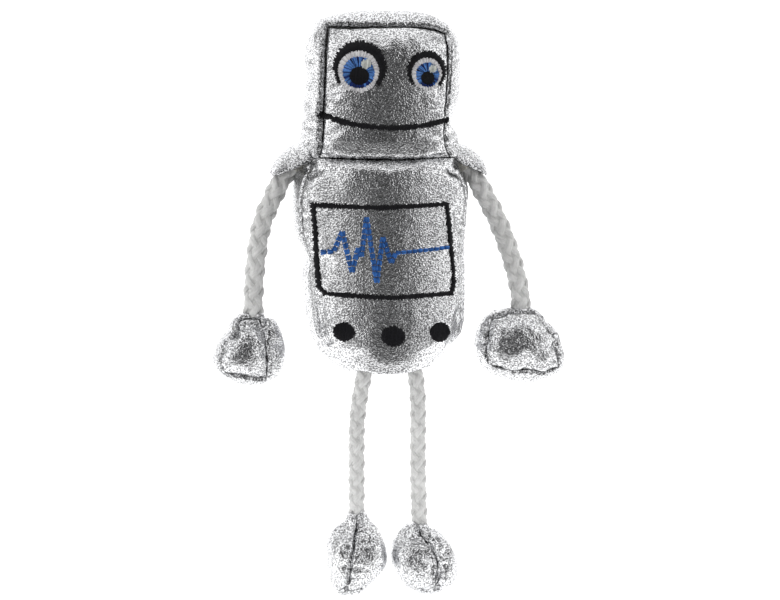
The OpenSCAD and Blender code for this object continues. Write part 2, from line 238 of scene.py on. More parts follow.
def thread_tree():
    """Lays a round thread along every chain of edges."""
    tree = node_tree("laid_thread", [("Thread radius", "NodeSocketFloat", 0.0002),
                                     ("Sides", "NodeSocketInt", 6),
                                     ("Material", "NodeSocketMaterial", None)])
    new, join = tree.nodes.new, tree.links.new
    start, end = new("NodeGroupInput"), new("NodeGroupOutput")
    curve, ring = new("GeometryNodeMeshToCurve"), new("GeometryNodeCurvePrimitiveCircle")
    sweep = new("GeometryNodeCurveToMesh")
    pick, tone = new("FunctionNodeRandomValue"), new("GeometryNodeStoreNamedAttribute")
    tone.domain = "CURVE"
    tone.inputs["Name"].default_value = "tone"
    pick.inputs["Seed"].default_value = 7
    real, paint = new("GeometryNodeRealizeInstances"), new("GeometryNodeSetMaterial")
    shade = new("GeometryNodeSetShadeSmooth")
    join(start.outputs["Geometry"], curve.inputs["Mesh"])
    join(start.outputs["Thread radius"], ring.inputs["Radius"])
    join(start.outputs["Sides"], ring.inputs["Resolution"])
    join(curve.outputs["Curve"], tone.inputs["Geometry"])
    join(pick.outputs[1], tone.inputs["Value"])
    join(tone.outputs["Geometry"], sweep.inputs["Curve"])
    join(ring.outputs["Curve"], sweep.inputs["Profile Curve"])
    sweep.inputs["Fill Caps"].default_value = True
    join(sweep.outputs["Mesh"], shade.inputs["Geometry"])
    join(shade.outputs["Geometry"], real.inputs["Geometry"])
    join(real.outputs["Geometry"], paint.inputs["Geometry"])
    join(start.outputs["Material"], paint.inputs["Material"])
    join(paint.outputs["Geometry"], end.inputs["Geometry"])
    return tree


def bead_tree():
    """Sets a short rounded stitch at even steps along every chain of edges, laid along the chain."""
    tree = node_tree("seam_stitches", [("Step", "NodeSocketFloat", 0.002),
                                       ("Stitch length", "NodeSocketFloat", 0.0013),
                                       ("Thread radius", "NodeSocketFloat", 0.00016),
                                       ("Material", "NodeSocketMaterial", None)])
    new, join = tree.nodes.new, tree.links.new
    start, end = new("NodeGroupInput"), new("NodeGroupOutput")
    curve, spread = new("GeometryNodeMeshToCurve"), new("GeometryNodeCurveToPoints")
    ball, shape = new("GeometryNodeMeshIcoSphere"), new("ShaderNodeCombineXYZ")
    put = new("GeometryNodeInstanceOnPoints")
    real, paint = new("GeometryNodeRealizeInstances"), new("GeometryNodeSetMaterial")
    shade = new("GeometryNodeSetShadeSmooth")
    half = new("ShaderNodeMath")
    half.operation = "MULTIPLY"
    half.inputs[1].default_value = 0.5
    spread.mode = "LENGTH"
    ball.inputs["Radius"].default_value = 1
    ball.inputs["Subdivisions"].default_value = 2
    join(start.outputs["Geometry"], curve.inputs["Mesh"])
    join(curve.outputs["Curve"], spread.inputs["Curve"])
    join(start.outputs["Step"], spread.inputs["Length"])
    join(spread.outputs["Points"], put.inputs["Points"])
    join(spread.outputs["Rotation"], put.inputs["Rotation"])
    join(ball.outputs["Mesh"], put.inputs["Instance"])
    join(start.outputs["Stitch length"], half.inputs[0])
    join(start.outputs["Thread radius"], shape.inputs["X"])
    join(start.outputs["Thread radius"], shape.inputs["Y"])
    join(half.outputs[0], shape.inputs["Z"])
    join(shape.outputs["Vector"], put.inputs["Scale"])
    join(put.outputs["Instances"], real.inputs["Geometry"])
    join(real.outputs["Geometry"], shade.inputs["Geometry"])
    join(shade.outputs["Geometry"], paint.inputs["Geometry"])
    join(start.outputs["Material"], paint.inputs["Material"])
    join(paint.outputs["Geometry"], end.inputs["Geometry"])
    return tree


def grown(name, chains_mm, tree, values):
    """Runs a tree over chains of points and returns the result as a plain mesh object."""
    points, edges = [], []
    for chain in chains_mm:
        first = len(points)
        points.extend(tuple(np.asarray(p) * MM) for p in chain)
        edges.extend((first + k, first + k + 1) for k in range(len(chain) - 1))
    guide = bpy.data.meshes.new(name + "_guide")
    guide.from_pydata(points, edges, [])
    obj = link(name, guide)
    modifier = obj.modifiers.new("Grow", "NODES")
    modifier.node_group = tree
    for item in tree.interface.items_tree:
        if item.in_out == "INPUT" and item.name in values:
            modifier[item.identifier] = values[item.name]
    mesh = applied(obj)
    obj.modifiers.clear()
    obj.data = mesh
    bpy.data.meshes.remove(guide)
    return obj


TREES = {}


def tree_named(name):
    if name not in TREES:
        TREES[name] = {"thread": thread_tree, "beads": bead_tree}[name]()
    return TREES[name]


# Materials


def shader(name, colour, roughness, metallic=0.0):
    material = bpy.data.materials.new(name)
    material.use_nodes = True
    bsdf = material.node_tree.nodes["Principled BSDF"]
    bsdf.inputs["Base Color"].default_value = colour
    bsdf.inputs["Roughness"].default_value = roughness
    bsdf.inputs["Metallic"].default_value = metallic
    return material, material.node_tree, bsdf


def texture(tree, kind, scale, source, **sockets):
    node = tree.nodes.new(kind)
    node.inputs["Scale"].default_value = scale
    for label, value in sockets.items():
        node.inputs[label].default_value = value
    tree.links.new(source, node.inputs["Vector"])
    return node


def stretched(tree, source, scale):
    node = tree.nodes.new("ShaderNodeMapping")
    node.inputs["Scale"].default_value = scale
    tree.links.new(source, node.inputs["Vector"])
    return node.outputs["Vector"]


def ramp(tree, source, low, high, dark, light):
    node = tree.nodes.new("ShaderNodeMapRange")
    for label, value in (("From Min", low), ("From Max", high), ("To Min", dark), ("To Max", light)):
        node.inputs[label].default_value = value
    tree.links.new(source, node.inputs["Value"])
    return node.outputs["Result"]


def bump(tree, height, distance, strength, below=None):
    node = tree.nodes.new("ShaderNodeBump")
    node.inputs["Distance"].default_value = distance
    node.inputs["Strength"].default_value = strength
    tree.links.new(height, node.inputs["Height"])
    if below:
        tree.links.new(below, node.inputs["Normal"])
    return node.outputs["Normal"]


def combined(tree, operation, a, b):
    node = tree.nodes.new("ShaderNodeMath")
    node.operation = operation
    for k, value in enumerate((a, b)):
        if isinstance(value, (int, float)):
            node.inputs[k].default_value = value
        else:
            tree.links.new(value, node.inputs[k])
    return node.outputs[0]


def attribute(tree, name):
    node = tree.nodes.new("ShaderNodeAttribute")
    node.attribute_name = name
    return node.outputs["Fac"]


def tinted(tree, bsdf, share, dark, light):
    """Runs the base colour from dark to light by the share."""
    tint = tree.nodes.new("ShaderNodeMix")
    tint.data_type = "RGBA"
    tint.inputs[6].default_value = dark
    tint.inputs[7].default_value = light
    tree.links.new(share, tint.inputs[0])
    tree.links.new(tint.outputs[2], bsdf.inputs["Base Color"])


def silver_material(name, crumple):
    """Woven metallic cloth: flat foil threads that glint one by one, with creases in the foil, and painted
    shade that darkens the colour along seam lines and on the welts beside them.
    """
    colour = bpy.context.scene.puppet_cloth.silver
    material, tree, bsdf = shader(name, colour, 0.3, 1.0)
    here = tree.nodes.new("ShaderNodeTexCoord").outputs["Object"]
    grain = texture(tree, "ShaderNodeTexNoise", 2100, stretched(tree, here, (1.0, 1.0, 0.75)), Detail=1.0)
    cross = texture(tree, "ShaderNodeTexNoise", 3200, stretched(tree, here, (0.6, 0.6, 1.0)), Detail=0.0)
    folds = texture(tree, "ShaderNodeTexNoise", 210, here, Detail=3.0, Roughness=0.55, Distortion=0.6)
    weave = combined(tree, "ADD", grain.outputs["Fac"], cross.outputs["Fac"])
    speck = ramp(tree, weave, 0.84, 1.08, 0.28, 1.0)
    # Painted shade: the base colour darkens along the seam lines.
    shade = combined(tree, "SUBTRACT", 1.0, combined(tree, "MULTIPLY", attribute(tree, "crease"), 0.85))
    # Painted shade: the base colour darkens in patches on the welts beside seams and along the shoulder caps'
    # rims.
    painted_welt_shade = combined(tree, "MULTIPLY", attribute(tree, "welt"), ramp(tree, weave, 0.86, 1.1, 0.98, 0.35))
    after_welt_shade = combined(tree, "SUBTRACT", 1.0, painted_welt_shade)
    lit = combined(tree, "MULTIPLY", speck, combined(tree, "MULTIPLY", shade, after_welt_shade))
    tinted(tree, bsdf, lit, (0.02, 0.02, 0.022, 1), colour)
    tree.links.new(ramp(tree, weave, 0.8, 1.2, 0.3, 0.16), bsdf.inputs["Roughness"])
    soft = bump(tree, folds.outputs["Fac"], 0.0006 * crumple, 0.9)
    tree.links.new(bump(tree, weave, 0.00011, 1.0, soft), bsdf.inputs["Normal"])
    return material


def thread_material(name, colour, roughness=0.55, spread=0.35):
    """Twisted thread. Each stitch is a little lighter or darker than the next."""
    material, tree, bsdf = shader(name, colour, roughness)
    here = tree.nodes.new("ShaderNodeTexCoord").outputs["Object"]
    ply = texture(tree, "ShaderNodeTexNoise", 3200, here, Detail=2.0)
    mixed = combined(tree, "ADD", ramp(tree, ply.outputs["Fac"], 0.3, 0.7, 0.0, 0.35),
                     ramp(tree, attribute(tree, "tone"), 0.0, 1.0, 0.0, 0.65))
    darker = [c * (1 - spread) for c in colour[:3]] + [1]
    lighter = [min(1, c * (1 + spread)) for c in colour[:3]] + [1]
    tinted(tree, bsdf, mixed, darker, lighter)
    tree.links.new(bump(tree, ply.outputs["Fac"], 0.00006, 0.7), bsdf.inputs["Normal"])
    bsdf.inputs["Specular IOR Level"].default_value = 0.15
    return material


def rope_material():
    """Soft cotton yarn: fine fibres along each strand, from the strand's own UV map."""
    colour = bpy.context.scene.puppet_rope.cotton
    material, tree, bsdf = shader("braided_cotton", colour, 0.85)
    uv = tree.nodes.new("ShaderNodeUVMap")
    uv.uv_map = "strand"
    fibre = texture(tree, "ShaderNodeTexNoise", 1.0, stretched(tree, uv.outputs["UV"], (10.0, 450.0, 1.0)),
                    Detail=3.0, Roughness=0.7)
    here = tree.nodes.new("ShaderNodeTexCoord").outputs["Object"]
    fuzz = texture(tree, "ShaderNodeTexNoise", 2600, here, Detail=3.0, Roughness=0.7)
    cloud = texture(tree, "ShaderNodeTexNoise", 160, here, Detail=1.0)
    shade = combined(tree, "ADD", ramp(tree, fibre.outputs["Fac"], 0.3, 0.7, 0.0, 0.6),
                     ramp(tree, cloud.outputs["Fac"], 0.3, 0.7, 0.1, 0.4))
    tinted(tree, bsdf, shade, (0.55, 0.55, 0.54, 1), colour)
    first = bump(tree, fibre.outputs["Fac"], 0.0005, 0.9)
    tree.links.new(bump(tree, fuzz.outputs["Fac"], 0.00012, 0.7, first), bsdf.inputs["Normal"])
    bsdf.inputs["Sheen Weight"].default_value = 0.35
    bsdf.inputs["Sheen Roughness"].default_value = 0.6
    bsdf.inputs["Subsurface Weight"].default_value = 0.08
    bsdf.inputs["Subsurface Radius"].default_value = (0.001, 0.001, 0.001)
    return material


def lining_material(name, colour):
    material, tree, bsdf = shader(name, colour, 0.8)
    here = tree.nodes.new("ShaderNodeTexCoord").outputs["Object"]
    warp = texture(tree, "ShaderNodeTexNoise", 1500, stretched(tree, here, (1.6, 1.6, 0.4)), Detail=2.0)
    weft = texture(tree, "ShaderNodeTexNoise", 1500, stretched(tree, here, (0.4, 0.4, 1.6)), Detail=2.0)
    cloth = combined(tree, "ADD", warp.outputs["Fac"], weft.outputs["Fac"])
    tinted(tree, bsdf, ramp(tree, cloth, 0.7, 1.3, 0.0, 1.0), [c * 0.7 for c in colour[:3]] + [1], colour)
    tree.links.new(bump(tree, cloth, 0.00008, 0.8), bsdf.inputs["Normal"])
    return material


MATERIALS = {}


def material_named(name):
    thread = bpy.context.scene.puppet_thread
    makers = {
        "silver": lambda: silver_material("silver_cloth", 0.35),
        "silver_crumpled": lambda: silver_material("silver_cloth_crumpled", 1.0),
        "black": lambda: thread_material("black_satin_thread", tuple(thread.black), 0.5),
        "blue": lambda: thread_material("blue_satin_thread", tuple(thread.blue), spread=0.6),
        "iris": lambda: thread_material("pale_blue_satin_thread", (0.08, 0.20, 0.50, 1), spread=0.8),
        "navy": lambda: thread_material("navy_satin_thread", (0.006, 0.02, 0.11, 1), spread=0.9),
        "white": lambda: thread_material("white_satin_thread", tuple(thread.white), spread=0.5),
        "glint": lambda: thread_material("pale_satin_thread", (0.66, 0.68, 0.64, 1)),
        "rope": rope_material,
        "binding": lambda: thread_material("binding_thread", (0.72, 0.70, 0.64, 1), 0.7),
        "lining": lambda: lining_material("grey_lining", (0.55, 0.55, 0.57, 1)),
        "fill": lambda: lining_material("fibre_fill", (0.86, 0.86, 0.84, 1)),
    }
    if name not in MATERIALS:
        MATERIALS[name] = makers[name]()
    return MATERIALS[name]


# Sewn bags


def side_outline(left, right, bottom, top, across, up):
    """A grid over an outline given by its four sides, as x and z in millimetres."""
    le, ri = smooth_through(left, up + 1), smooth_through(right, up + 1)
    bo, to = smooth_through(bottom, across + 1), smooth_through(top, across + 1)
    u = np.linspace(0, 1, across + 1)[:, None, None]
    w = np.linspace(0, 1, up + 1)[None, :, None]
    ruled = (1 - w) * bo[:, None] + w * to[:, None] + (1 - u) * le[None] + u * ri[None]
    corners = (1 - u) * ((1 - w) * bo[0] + w * to[0]) + u * ((1 - w) * bo[-1] + w * to[-1])
    return ruled - corners


def lattice(across, deep, up, open_end=None):
    """The skin of a box of cells: grid places, outward faces and which side each face is on."""
    index, places = {}, []

    def at(i, j, k):
        if (i, j, k) not in index:
            index[i, j, k] = len(places)
            places.append((i, j, k))
        return index[i, j, k]

    faces, sides = [], []

    def face(side, *corner):
        faces.append([at(*c) for c in corner])
        sides.append(side)

    for i in range(across):
        for k in range(up):
            face("front", (i, 0, k), (i + 1, 0, k), (i + 1, 0, k + 1), (i, 0, k + 1))
            face("back", (i, deep, k), (i, deep, k + 1), (i + 1, deep, k + 1), (i + 1, deep, k))
    for j in range(deep):
        for k in range(up):
            face("left", (0, j, k), (0, j, k + 1), (0, j + 1, k + 1), (0, j + 1, k))
            face("right", (across, j, k), (across, j + 1, k), (across, j + 1, k + 1), (across, j, k + 1))
        for i in range(across):
            if open_end != "top":
                face("top", (i, j, up), (i + 1, j, up), (i + 1, j + 1, up), (i, j + 1, up))
            if open_end != "bottom":
                face("bottom", (i, j, 0), (i, j + 1, 0), (i + 1, j + 1, 0), (i + 1, j, 0))
    return np.array(places), faces, sides


def bag_points(places, size, outlines, depth, corner, crown, taper, seam=None, falls=(1, 1)):
    """Rounds the skin of a box into a bag. corner is 1 for an oval section and nearer 0 for a boxy one.

    depth is the front and back y, taper the share of it at each share of the height, and seam the x and z
    of a line that the middle of the front follows. falls says how much of the crown is gone at the low and
    the high end.
    """
    front, middle, back = outlines
    y_front, y_back = depth
    across, deep, up = size
    i, j, k = places.T
    v = j / deep
    full = np.sin(np.pi * v) ** corner
    end = np.where((v < 0.5)[:, None], front[i, k], back[i, k])
    xz = end + (middle[i, k] - end) * full[:, None]
    wave = np.cos(np.pi * v)
    reach = np.sign(wave) * np.abs(wave) ** corner * np.interp(k / up, *zip(*taper))
    y = (y_front + y_back) / 2 - (y_back - y_front) / 2 * reach
    height = 2 * k / up - 1
    dome = (1 - (2 * i / across - 1) ** 2) * (1 - np.where(height < 0, falls[0], falls[1]) * height ** 12)
    y = y - crown * dome * np.where(j == 0, 1, 0) + crown * dome * np.where(j == deep, 1, 0)
    if seam:
        x, z = np.array(sorted(seam, key=lambda point: point[1])).T
        middle_x = np.interp(k, np.arange(up + 1), front[across // 2, :, 0])
        pull = (1 - np.abs(2 * i / across - 1)) * (1 + wave) / 2
        xz[:, 0] += (np.interp(xz[:, 1], z, x) - middle_x) * pull
    return np.stack([xz[:, 0], y, xz[:, 1]], axis=1)


SIM_SCALE = 0.02


def stuffed(points, faces, held, seam, cap):
    """Fills a sewn bag in the cloth simulation. Seams draw in, held points stay, none moves over cap mm."""
    cloth = bpy.context.scene.puppet_cloth
    scene = bpy.context.scene
    mesh = bpy.data.meshes.new("settling")
    mesh.from_pydata([tuple(p) for p in points * SIM_SCALE], [], faces)
    obj = link("settling", mesh)
    pins, draw = obj.vertex_groups.new(name="held"), obj.vertex_groups.new(name="seam")
    for k in np.flatnonzero(held):
        pins.add([int(k)], 1.0, "REPLACE")
    for k in np.flatnonzero(seam):
        draw.add([int(k)], 1.0, "REPLACE")
    modifier = obj.modifiers.new("Cloth", "CLOTH")
    s = modifier.settings
    s.quality, s.mass, s.air_damping = 8, 0.25, 2.0
    s.tension_stiffness, s.compression_stiffness, s.shear_stiffness, s.bending_stiffness = 12, 12, 6, 0.25
    s.use_pressure, s.uniform_pressure_force = True, cloth.pressure
    s.effector_weights.gravity = 0
    s.vertex_group_mass, s.vertex_group_shrink = pins.name, draw.name
    s.shrink_min, s.shrink_max = -0.045, 0.13
    modifier.collision_settings.use_collision = False
    modifier.point_cache.frame_start, modifier.point_cache.frame_end = 1, cloth.frames
    for number in range(1, cloth.frames + 1):
        scene.frame_set(number)
    result = applied(obj)
    settled = coords(result) / SIM_SCALE
    scene.frame_set(1)
    drop(obj)
    bpy.data.meshes.remove(result)
    moved = settled - points
    far = np.linalg.norm(moved, axis=1)
    return points + moved * np.minimum(1, cap / np.maximum(far, 1e-6))[:, None]


def even(height):
    """A welt of one height all along its seam."""
    return lambda points: np.full(len(points), height)


def fold(points, line, width, depth):
    """How far a fold along a line presses the cloth in, for each point."""
    a, b = np.array(line[0], float), np.array(line[1], float)
    along = np.clip((points - a) @ (b - a) / ((b - a) @ (b - a)), 0, 1)
    away = np.linalg.norm(points - a - along[:, None] * (b - a), axis=1)
    return -depth * np.exp(-(away / width) ** 2) * np.sin(np.pi * np.clip(along * 0.9 + 0.05, 0, 1)) ** 0.5


def panelled(points, faces, panel, levels):
    """Smooths the bag and returns the mesh, with each face's panel as its material index."""
    mesh = bpy.data.meshes.new("bag")
    mesh.from_pydata([tuple(p) for p in points], [], faces)
    mesh.polygons.foreach_set("material_index", panel)
    obj = link("bag", mesh)
    smooth = obj.modifiers.new("Smooth", "SUBSURF")
    smooth.levels = smooth.render_levels = levels
    fine = applied(obj)
    drop(obj)
    return fine


def seam_distance(mesh):
    """For each point: distance to the nearest seam, that seam's point, and the two panels sewn there."""
    bm = bmesh.new()
    bm.from_mesh(mesh)
    tree, pairs, spots = KDTree(len(bm.verts)), [], []
    seen = {}
    for edge in bm.edges:
        panels = {f.material_index for f in edge.link_faces}
        if len(panels) == 2 or len(edge.link_faces) == 1:
            for v in edge.verts:
                seen.setdefault(v.index, set()).update(panels)
    bm.verts.ensure_lookup_table()
    for number, panels in seen.items():
        tree.insert(bm.verts[number].co, len(spots))
        spots.append(tuple(bm.verts[number].co))
        pairs.append(frozenset(panels))
    tree.balance()
    own = np.zeros(len(bm.verts), int)
    for f in bm.faces:
        for v in f.verts:
            own[v.index] = f.material_index
    near = [tree.find(v.co) for v in bm.verts]
    bm.free()
    gap = np.array([n[2] for n in near])
    spot = np.array([tuple(n[0]) for n in near])
    pair = [pairs[n[1]] for n in near]
    return gap, spot, pair, own


def relieved(mesh, seed, welts=None, creases=(), crumple=0.12, pucker=1.0, draw=1.0):
    """Pulls seams in by the share draw, raises welts and puckers beside them, and creases the cloth."""
    cloth = bpy.context.scene.puppet_cloth
    points, out = coords(mesh), normals(mesh)
    gap, spot, pair, own = seam_distance(mesh)
    gather = waves(spot, 3.6, seed) + 0.6 * waves(spot, 1.9, seed + 1)
    lift = cloth.pucker * pucker * gather * np.exp(-gap / 3.2) * np.minimum(gap / 0.7, 1)
    sewn = np.array([1.0 if len(p) > 1 else 0.0 for p in pair])
    lift -= cloth.groove * draw * sewn * np.exp(-(gap / 0.6) ** 2)
    lift += crumple * waves(points, 7.5, seed + 2) + 0.4 * crumple * waves(points, 3.0, seed + 3)
    welt = np.zeros(len(points))
    for (panel, other), strength in (welts or {}).items():
        mine = (own == panel) & np.array([p >= {panel, other} for p in pair])
        rough = 0.75 + 0.25 * waves(spot, 4.0, seed + 4) + 0.2 * waves(points, 0.9, seed + 5)
        welt += mine * strength(points) * np.exp(-((gap - 1.25) / 0.75) ** 2) * np.clip(rough, 0.2, 1.6)
    lift += cloth.welt * welt
    for line, width, depth in creases:
        lift += fold(points, line, width, depth)
    put_coords(mesh, points + out * lift[:, None])
    # Painted shade along the seam lines, broken up, for the cloth's colour to darken by.
    broken = 0.55 + 0.3 * waves(spot, 2.2, seed + 6) + 0.3 * waves(spot, 0.9, seed + 7)
    depth = np.clip(broken, 0.1, 1) * draw * (0.15 + 0.85 * sewn)
    add_attribute(mesh, "crease", np.exp(-(gap / 0.2) ** 2) * depth)
    # The welt share also darkens the cloth's colour here: painted shade.
    add_attribute(mesh, "welt", np.clip(welt, 0, 1))
    return mesh


def panel_piece(mesh, number, name, body, node, material, keep=None):
    """Cuts one panel out of a bag's mesh, turns its edges in and gives it the cloth's thickness."""
    cut = mesh.copy()
    cut.name = name
    bm = bmesh.new()
    bm.from_mesh(cut)
    gone = [f for f in bm.faces if f.material_index != number or (keep and not keep(f.calc_center_median()))]
    bmesh.ops.delete(bm, geom=gone, context="FACES")
    bm.normal_update()
    for v in bm.verts:
        if v.is_boundary:
            v.co -= v.normal * 0.15
    for f in bm.faces:
        f.material_index = 0
        f.smooth = True
    bmesh.ops.scale(bm, vec=(MM, MM, MM), verts=bm.verts)
    bm.to_mesh(cut)
    bm.free()
    cut.materials.clear()
    cut.materials.append(material)
    obj = link(name, cut)
    wall = obj.modifiers.new("Cloth thickness", "SOLIDIFY")
    wall.thickness, wall.offset = bpy.context.scene.puppet_cloth.thickness * MM, -1
    finish_piece(obj, body, [node])
    return obj


def fill_piece(name, body, node, points, faces, shrink, seed):
    """Fibre fill: a lumpy pad a little inside the cloth, closed where the bag is open."""
    mesh = bpy.data.meshes.new(name)
    mesh.from_pydata([tuple(p) for p in points], [], faces)
    bm = bmesh.new()
    bm.from_mesh(mesh)
    bmesh.ops.holes_fill(bm, edges=[e for e in bm.edges if e.is_boundary], sides=0)
    bmesh.ops.triangulate(bm, faces=[f for f in bm.faces if len(f.verts) > 4])
    bmesh.ops.recalc_face_normals(bm, faces=bm.faces)
    bm.to_mesh(mesh)
    bm.free()
    mesh.update()
    place = coords(mesh)
    lumps = shrink + 0.35 * np.abs(waves(place, 5.0, seed))
    put_coords(mesh, (place - normals(mesh) * lumps[:, None]) * MM)
    mesh.polygons.foreach_set("use_smooth", [True] * len(mesh.polygons))
    mesh.materials.append(material_named("fill"))
    obj = link(name, mesh)
    finish_piece(obj, body, [node])
    return obj


SURFACE = {}


def remember_surface(name, mesh):
    """Keeps a bag's surface in millimetres, for the embroidery to lie on."""
    corners = [tuple(f.vertices) for f in mesh.polygons]
    SURFACE[name] = BVHTree.FromPolygons([tuple(p) for p in coords(mesh)], corners)


def on_surface(name, x, z, lift):
    """The point of a bag's front at x and z, raised towards the viewer by lift."""
    hit = SURFACE[name].ray_cast(Vector((x, -80, z)), Vector((0, 1, 0)))[0]
    if hit is None:
        raise RuntimeError(f"no {name} cloth at x {x:.1f}, z {z:.1f}")
    return (hit.x, hit.y - lift, hit.z)


# Head and trunk outlines, each as four sides: left, right, bottom and top, [x, z].


def head_outlines(low, high, size):
    """Face panel, widest section and back panel of the head, between the neck seam and the crown."""
    neck, crown = low[2], high[2]
    tall = crown - neck

    def z(share):
        return neck + tall * share

    face = side_outline(
        [[-20.6, z(0)], [-20.9, z(.07)], [-21.5, z(.29)], [-21.0, z(.42)], [-20.2, z(.66)],
         [-18.9, z(.875)]],
        [[20.9, z(0)], [19.7, z(.12)], [20.2, z(.29)], [20.9, z(.55)], [20.9, z(.75)], [20.5, z(.835)]],
        [[-20.6, z(0)], [-8, z(-.008)], [6, z(-.012)], [20.9, z(0)]],
        [[-18.9, z(.875)], [-6, z(.875)], [8, z(.885)], [15.5, z(.87)], [20.5, z(.835)]], size[0], size[2])
    widest = side_outline(
        [[-23.6, z(0)], [-23.6, z(.2)], [-24.2, z(.42)], [-23.2, z(.66)], [-24.3, z(.8)], [-21.0, z(.93)]],
        [[24.2, z(0)], [23.4, z(.25)], [24.8, z(.45)], [25.0, z(.7)], [24.6, z(.81)], [21.3, z(.91)]],
        [[-23.6, z(0)], [0, z(0)], [24.2, z(0)]],
        [[-21.0, z(.93)], [-13.5, z(.97)], [0, z(.995)], [13, z(.985)], [21.3, z(.91)]], size[0], size[2])
    rear = side_outline(
        [[-20.6, z(0)], [-20.8, z(.4)], [-19.5, z(.9)]], [[20.6, z(0)], [20.8, z(.4)], [19.5, z(.9)]],
        [[-20.6, z(0)], [0, z(0)], [20.6, z(0)]], [[-19.5, z(.9)], [0, z(.92)], [19.5, z(.9)]],
        size[0], size[2])
    return face, widest, rear


def trunk_outlines(neck, size):
    """Chest, widest section and back of the trunk, from the hem up to the neck seam."""
    chest = side_outline(
        [[-12.8, 2.4], [-17, 6.5], [-20.3, 14], [-21.2, 30], [-22.2, 48], [-22.3, 60], [-20.6, neck]],
        [[14.6, 2.3], [19.2, 6.5], [22.8, 14], [23.3, 30], [23.2, 48], [22.6, 60], [20.9, neck]],
        [[-12.8, 2.4], [-6, 0.9], [1, 0.3], [8, 0.8], [14.6, 2.3]],
        [[-20.6, neck], [0, neck - 0.5], [20.9, neck]],
        size[0], size[2])
    widest = side_outline(
        [[-13.9, 1.9], [-19.8, 5.8], [-23.3, 12.5], [-26.2, 28.8], [-25.9, 36.5], [-29.2, 45], [-29.0, 60],
         [-23.6, neck]],
        [[14.8, 1.7], [21.6, 5.5], [27.8, 11.5], [29.1, 22], [29.0, 40], [30.2, 52], [29.8, 60], [24.2, neck]],
        [[-13.9, 1.9], [-5.9, 0.7], [6, 0.7], [14.8, 1.7]], [[-23.6, neck], [0, neck], [24.2, neck]],
        size[0], size[2])
    rear = side_outline(
        [[-12.5, 3.8], [-18, 8.0], [-21, 16], [-23, 40], [-23, 58], [-20.6, neck]],
        [[13.5, 3.8], [19.5, 8.0], [22.5, 16], [23.5, 40], [23, 58], [20.6, neck]],
        [[-12.5, 3.8], [1, 2.4], [13.5, 3.8]], [[-20.6, neck], [0, neck], [20.6, neck]], size[0], size[2])
    return chest, widest, rear


HEAD_PANELS = {"face_panel": 0, "head_gusset": 1, "head_back": 2}
TRUNK_PANELS = {"chest_panel": 0, "right_side_panel": 1, "left_side_panel": 2, "trunk_back": 3}
ARM_Y = -4.5


class PUPPET_OT_head(bpy.types.Operator):
    """Sews and stuffs the head from its face panel, gusset and back panel"""
    bl_idname = "puppet.head"
    bl_label = "Head"

    def execute(self, context):
        size = (34, 22, 38)
        low, high = box_mm("face_panel", "head_gusset", "head_back")
        places, faces, sides = lattice(*size, open_end="bottom")
        depth = low[1] + 2.9, high[1] - 2.9
        points = bag_points(places, size, head_outlines(low, high, size), depth, 0.6, 2.9,
                            [(0, 0.9), (0.15, 1), (0.8, 1), (1, 0.9)], falls=(0, 1))
        panel = [{"front": 0, "back": 2}.get(side, 1) for side in sides]
        j, k = places[:, 1], places[:, 2]
        neck = k == 0
        rim = ((j == 0) | (j == size[1])) & ((places[:, 0] % size[0] == 0) | (k == size[2]))
        points = stuffed(points, faces, neck, rim, 1.9)
        fill_piece("head_fill", "torso", "head_stuffing", points, faces, 1.4, 5)
        fine = panelled(points, faces, panel, 2)

        def face_welt(p):
            left = np.clip((-p[:, 0] - 12) / 6, 0, 1)
            top = np.clip((p[:, 2] - high[2] + 12) / 5, 0, 1) * np.clip((12 - p[:, 0]) / 22, 0.3, 1)
            bulge = 0.9 * np.exp(-((p[:, 2] - 83) / 4) ** 2) * left
            return np.clip(np.maximum(left, top), 0.25, 1) + bulge

        creases = [(((-25, -14, 104), (-22, -8, 97)), 2.0, 0.9), (((-25, -12, 84), (-24, 2, 80)), 2.4, 0.8),
                   (((25, -12, 80), (24, 2, 82)), 2.2, 0.7), (((20, -20, 108), (25, -8, 101)), 1.6, 0.5)]
        relieved(fine, 11, {(1, 0): face_welt, (1, 2): even(0.5)}, creases, 0.03, 0.4)
        remember_surface("head", fine)
        for name, number in HEAD_PANELS.items():
            panel_piece(fine, number, name + "_cloth", "torso", name, material_named("silver"))
        return {"FINISHED"}


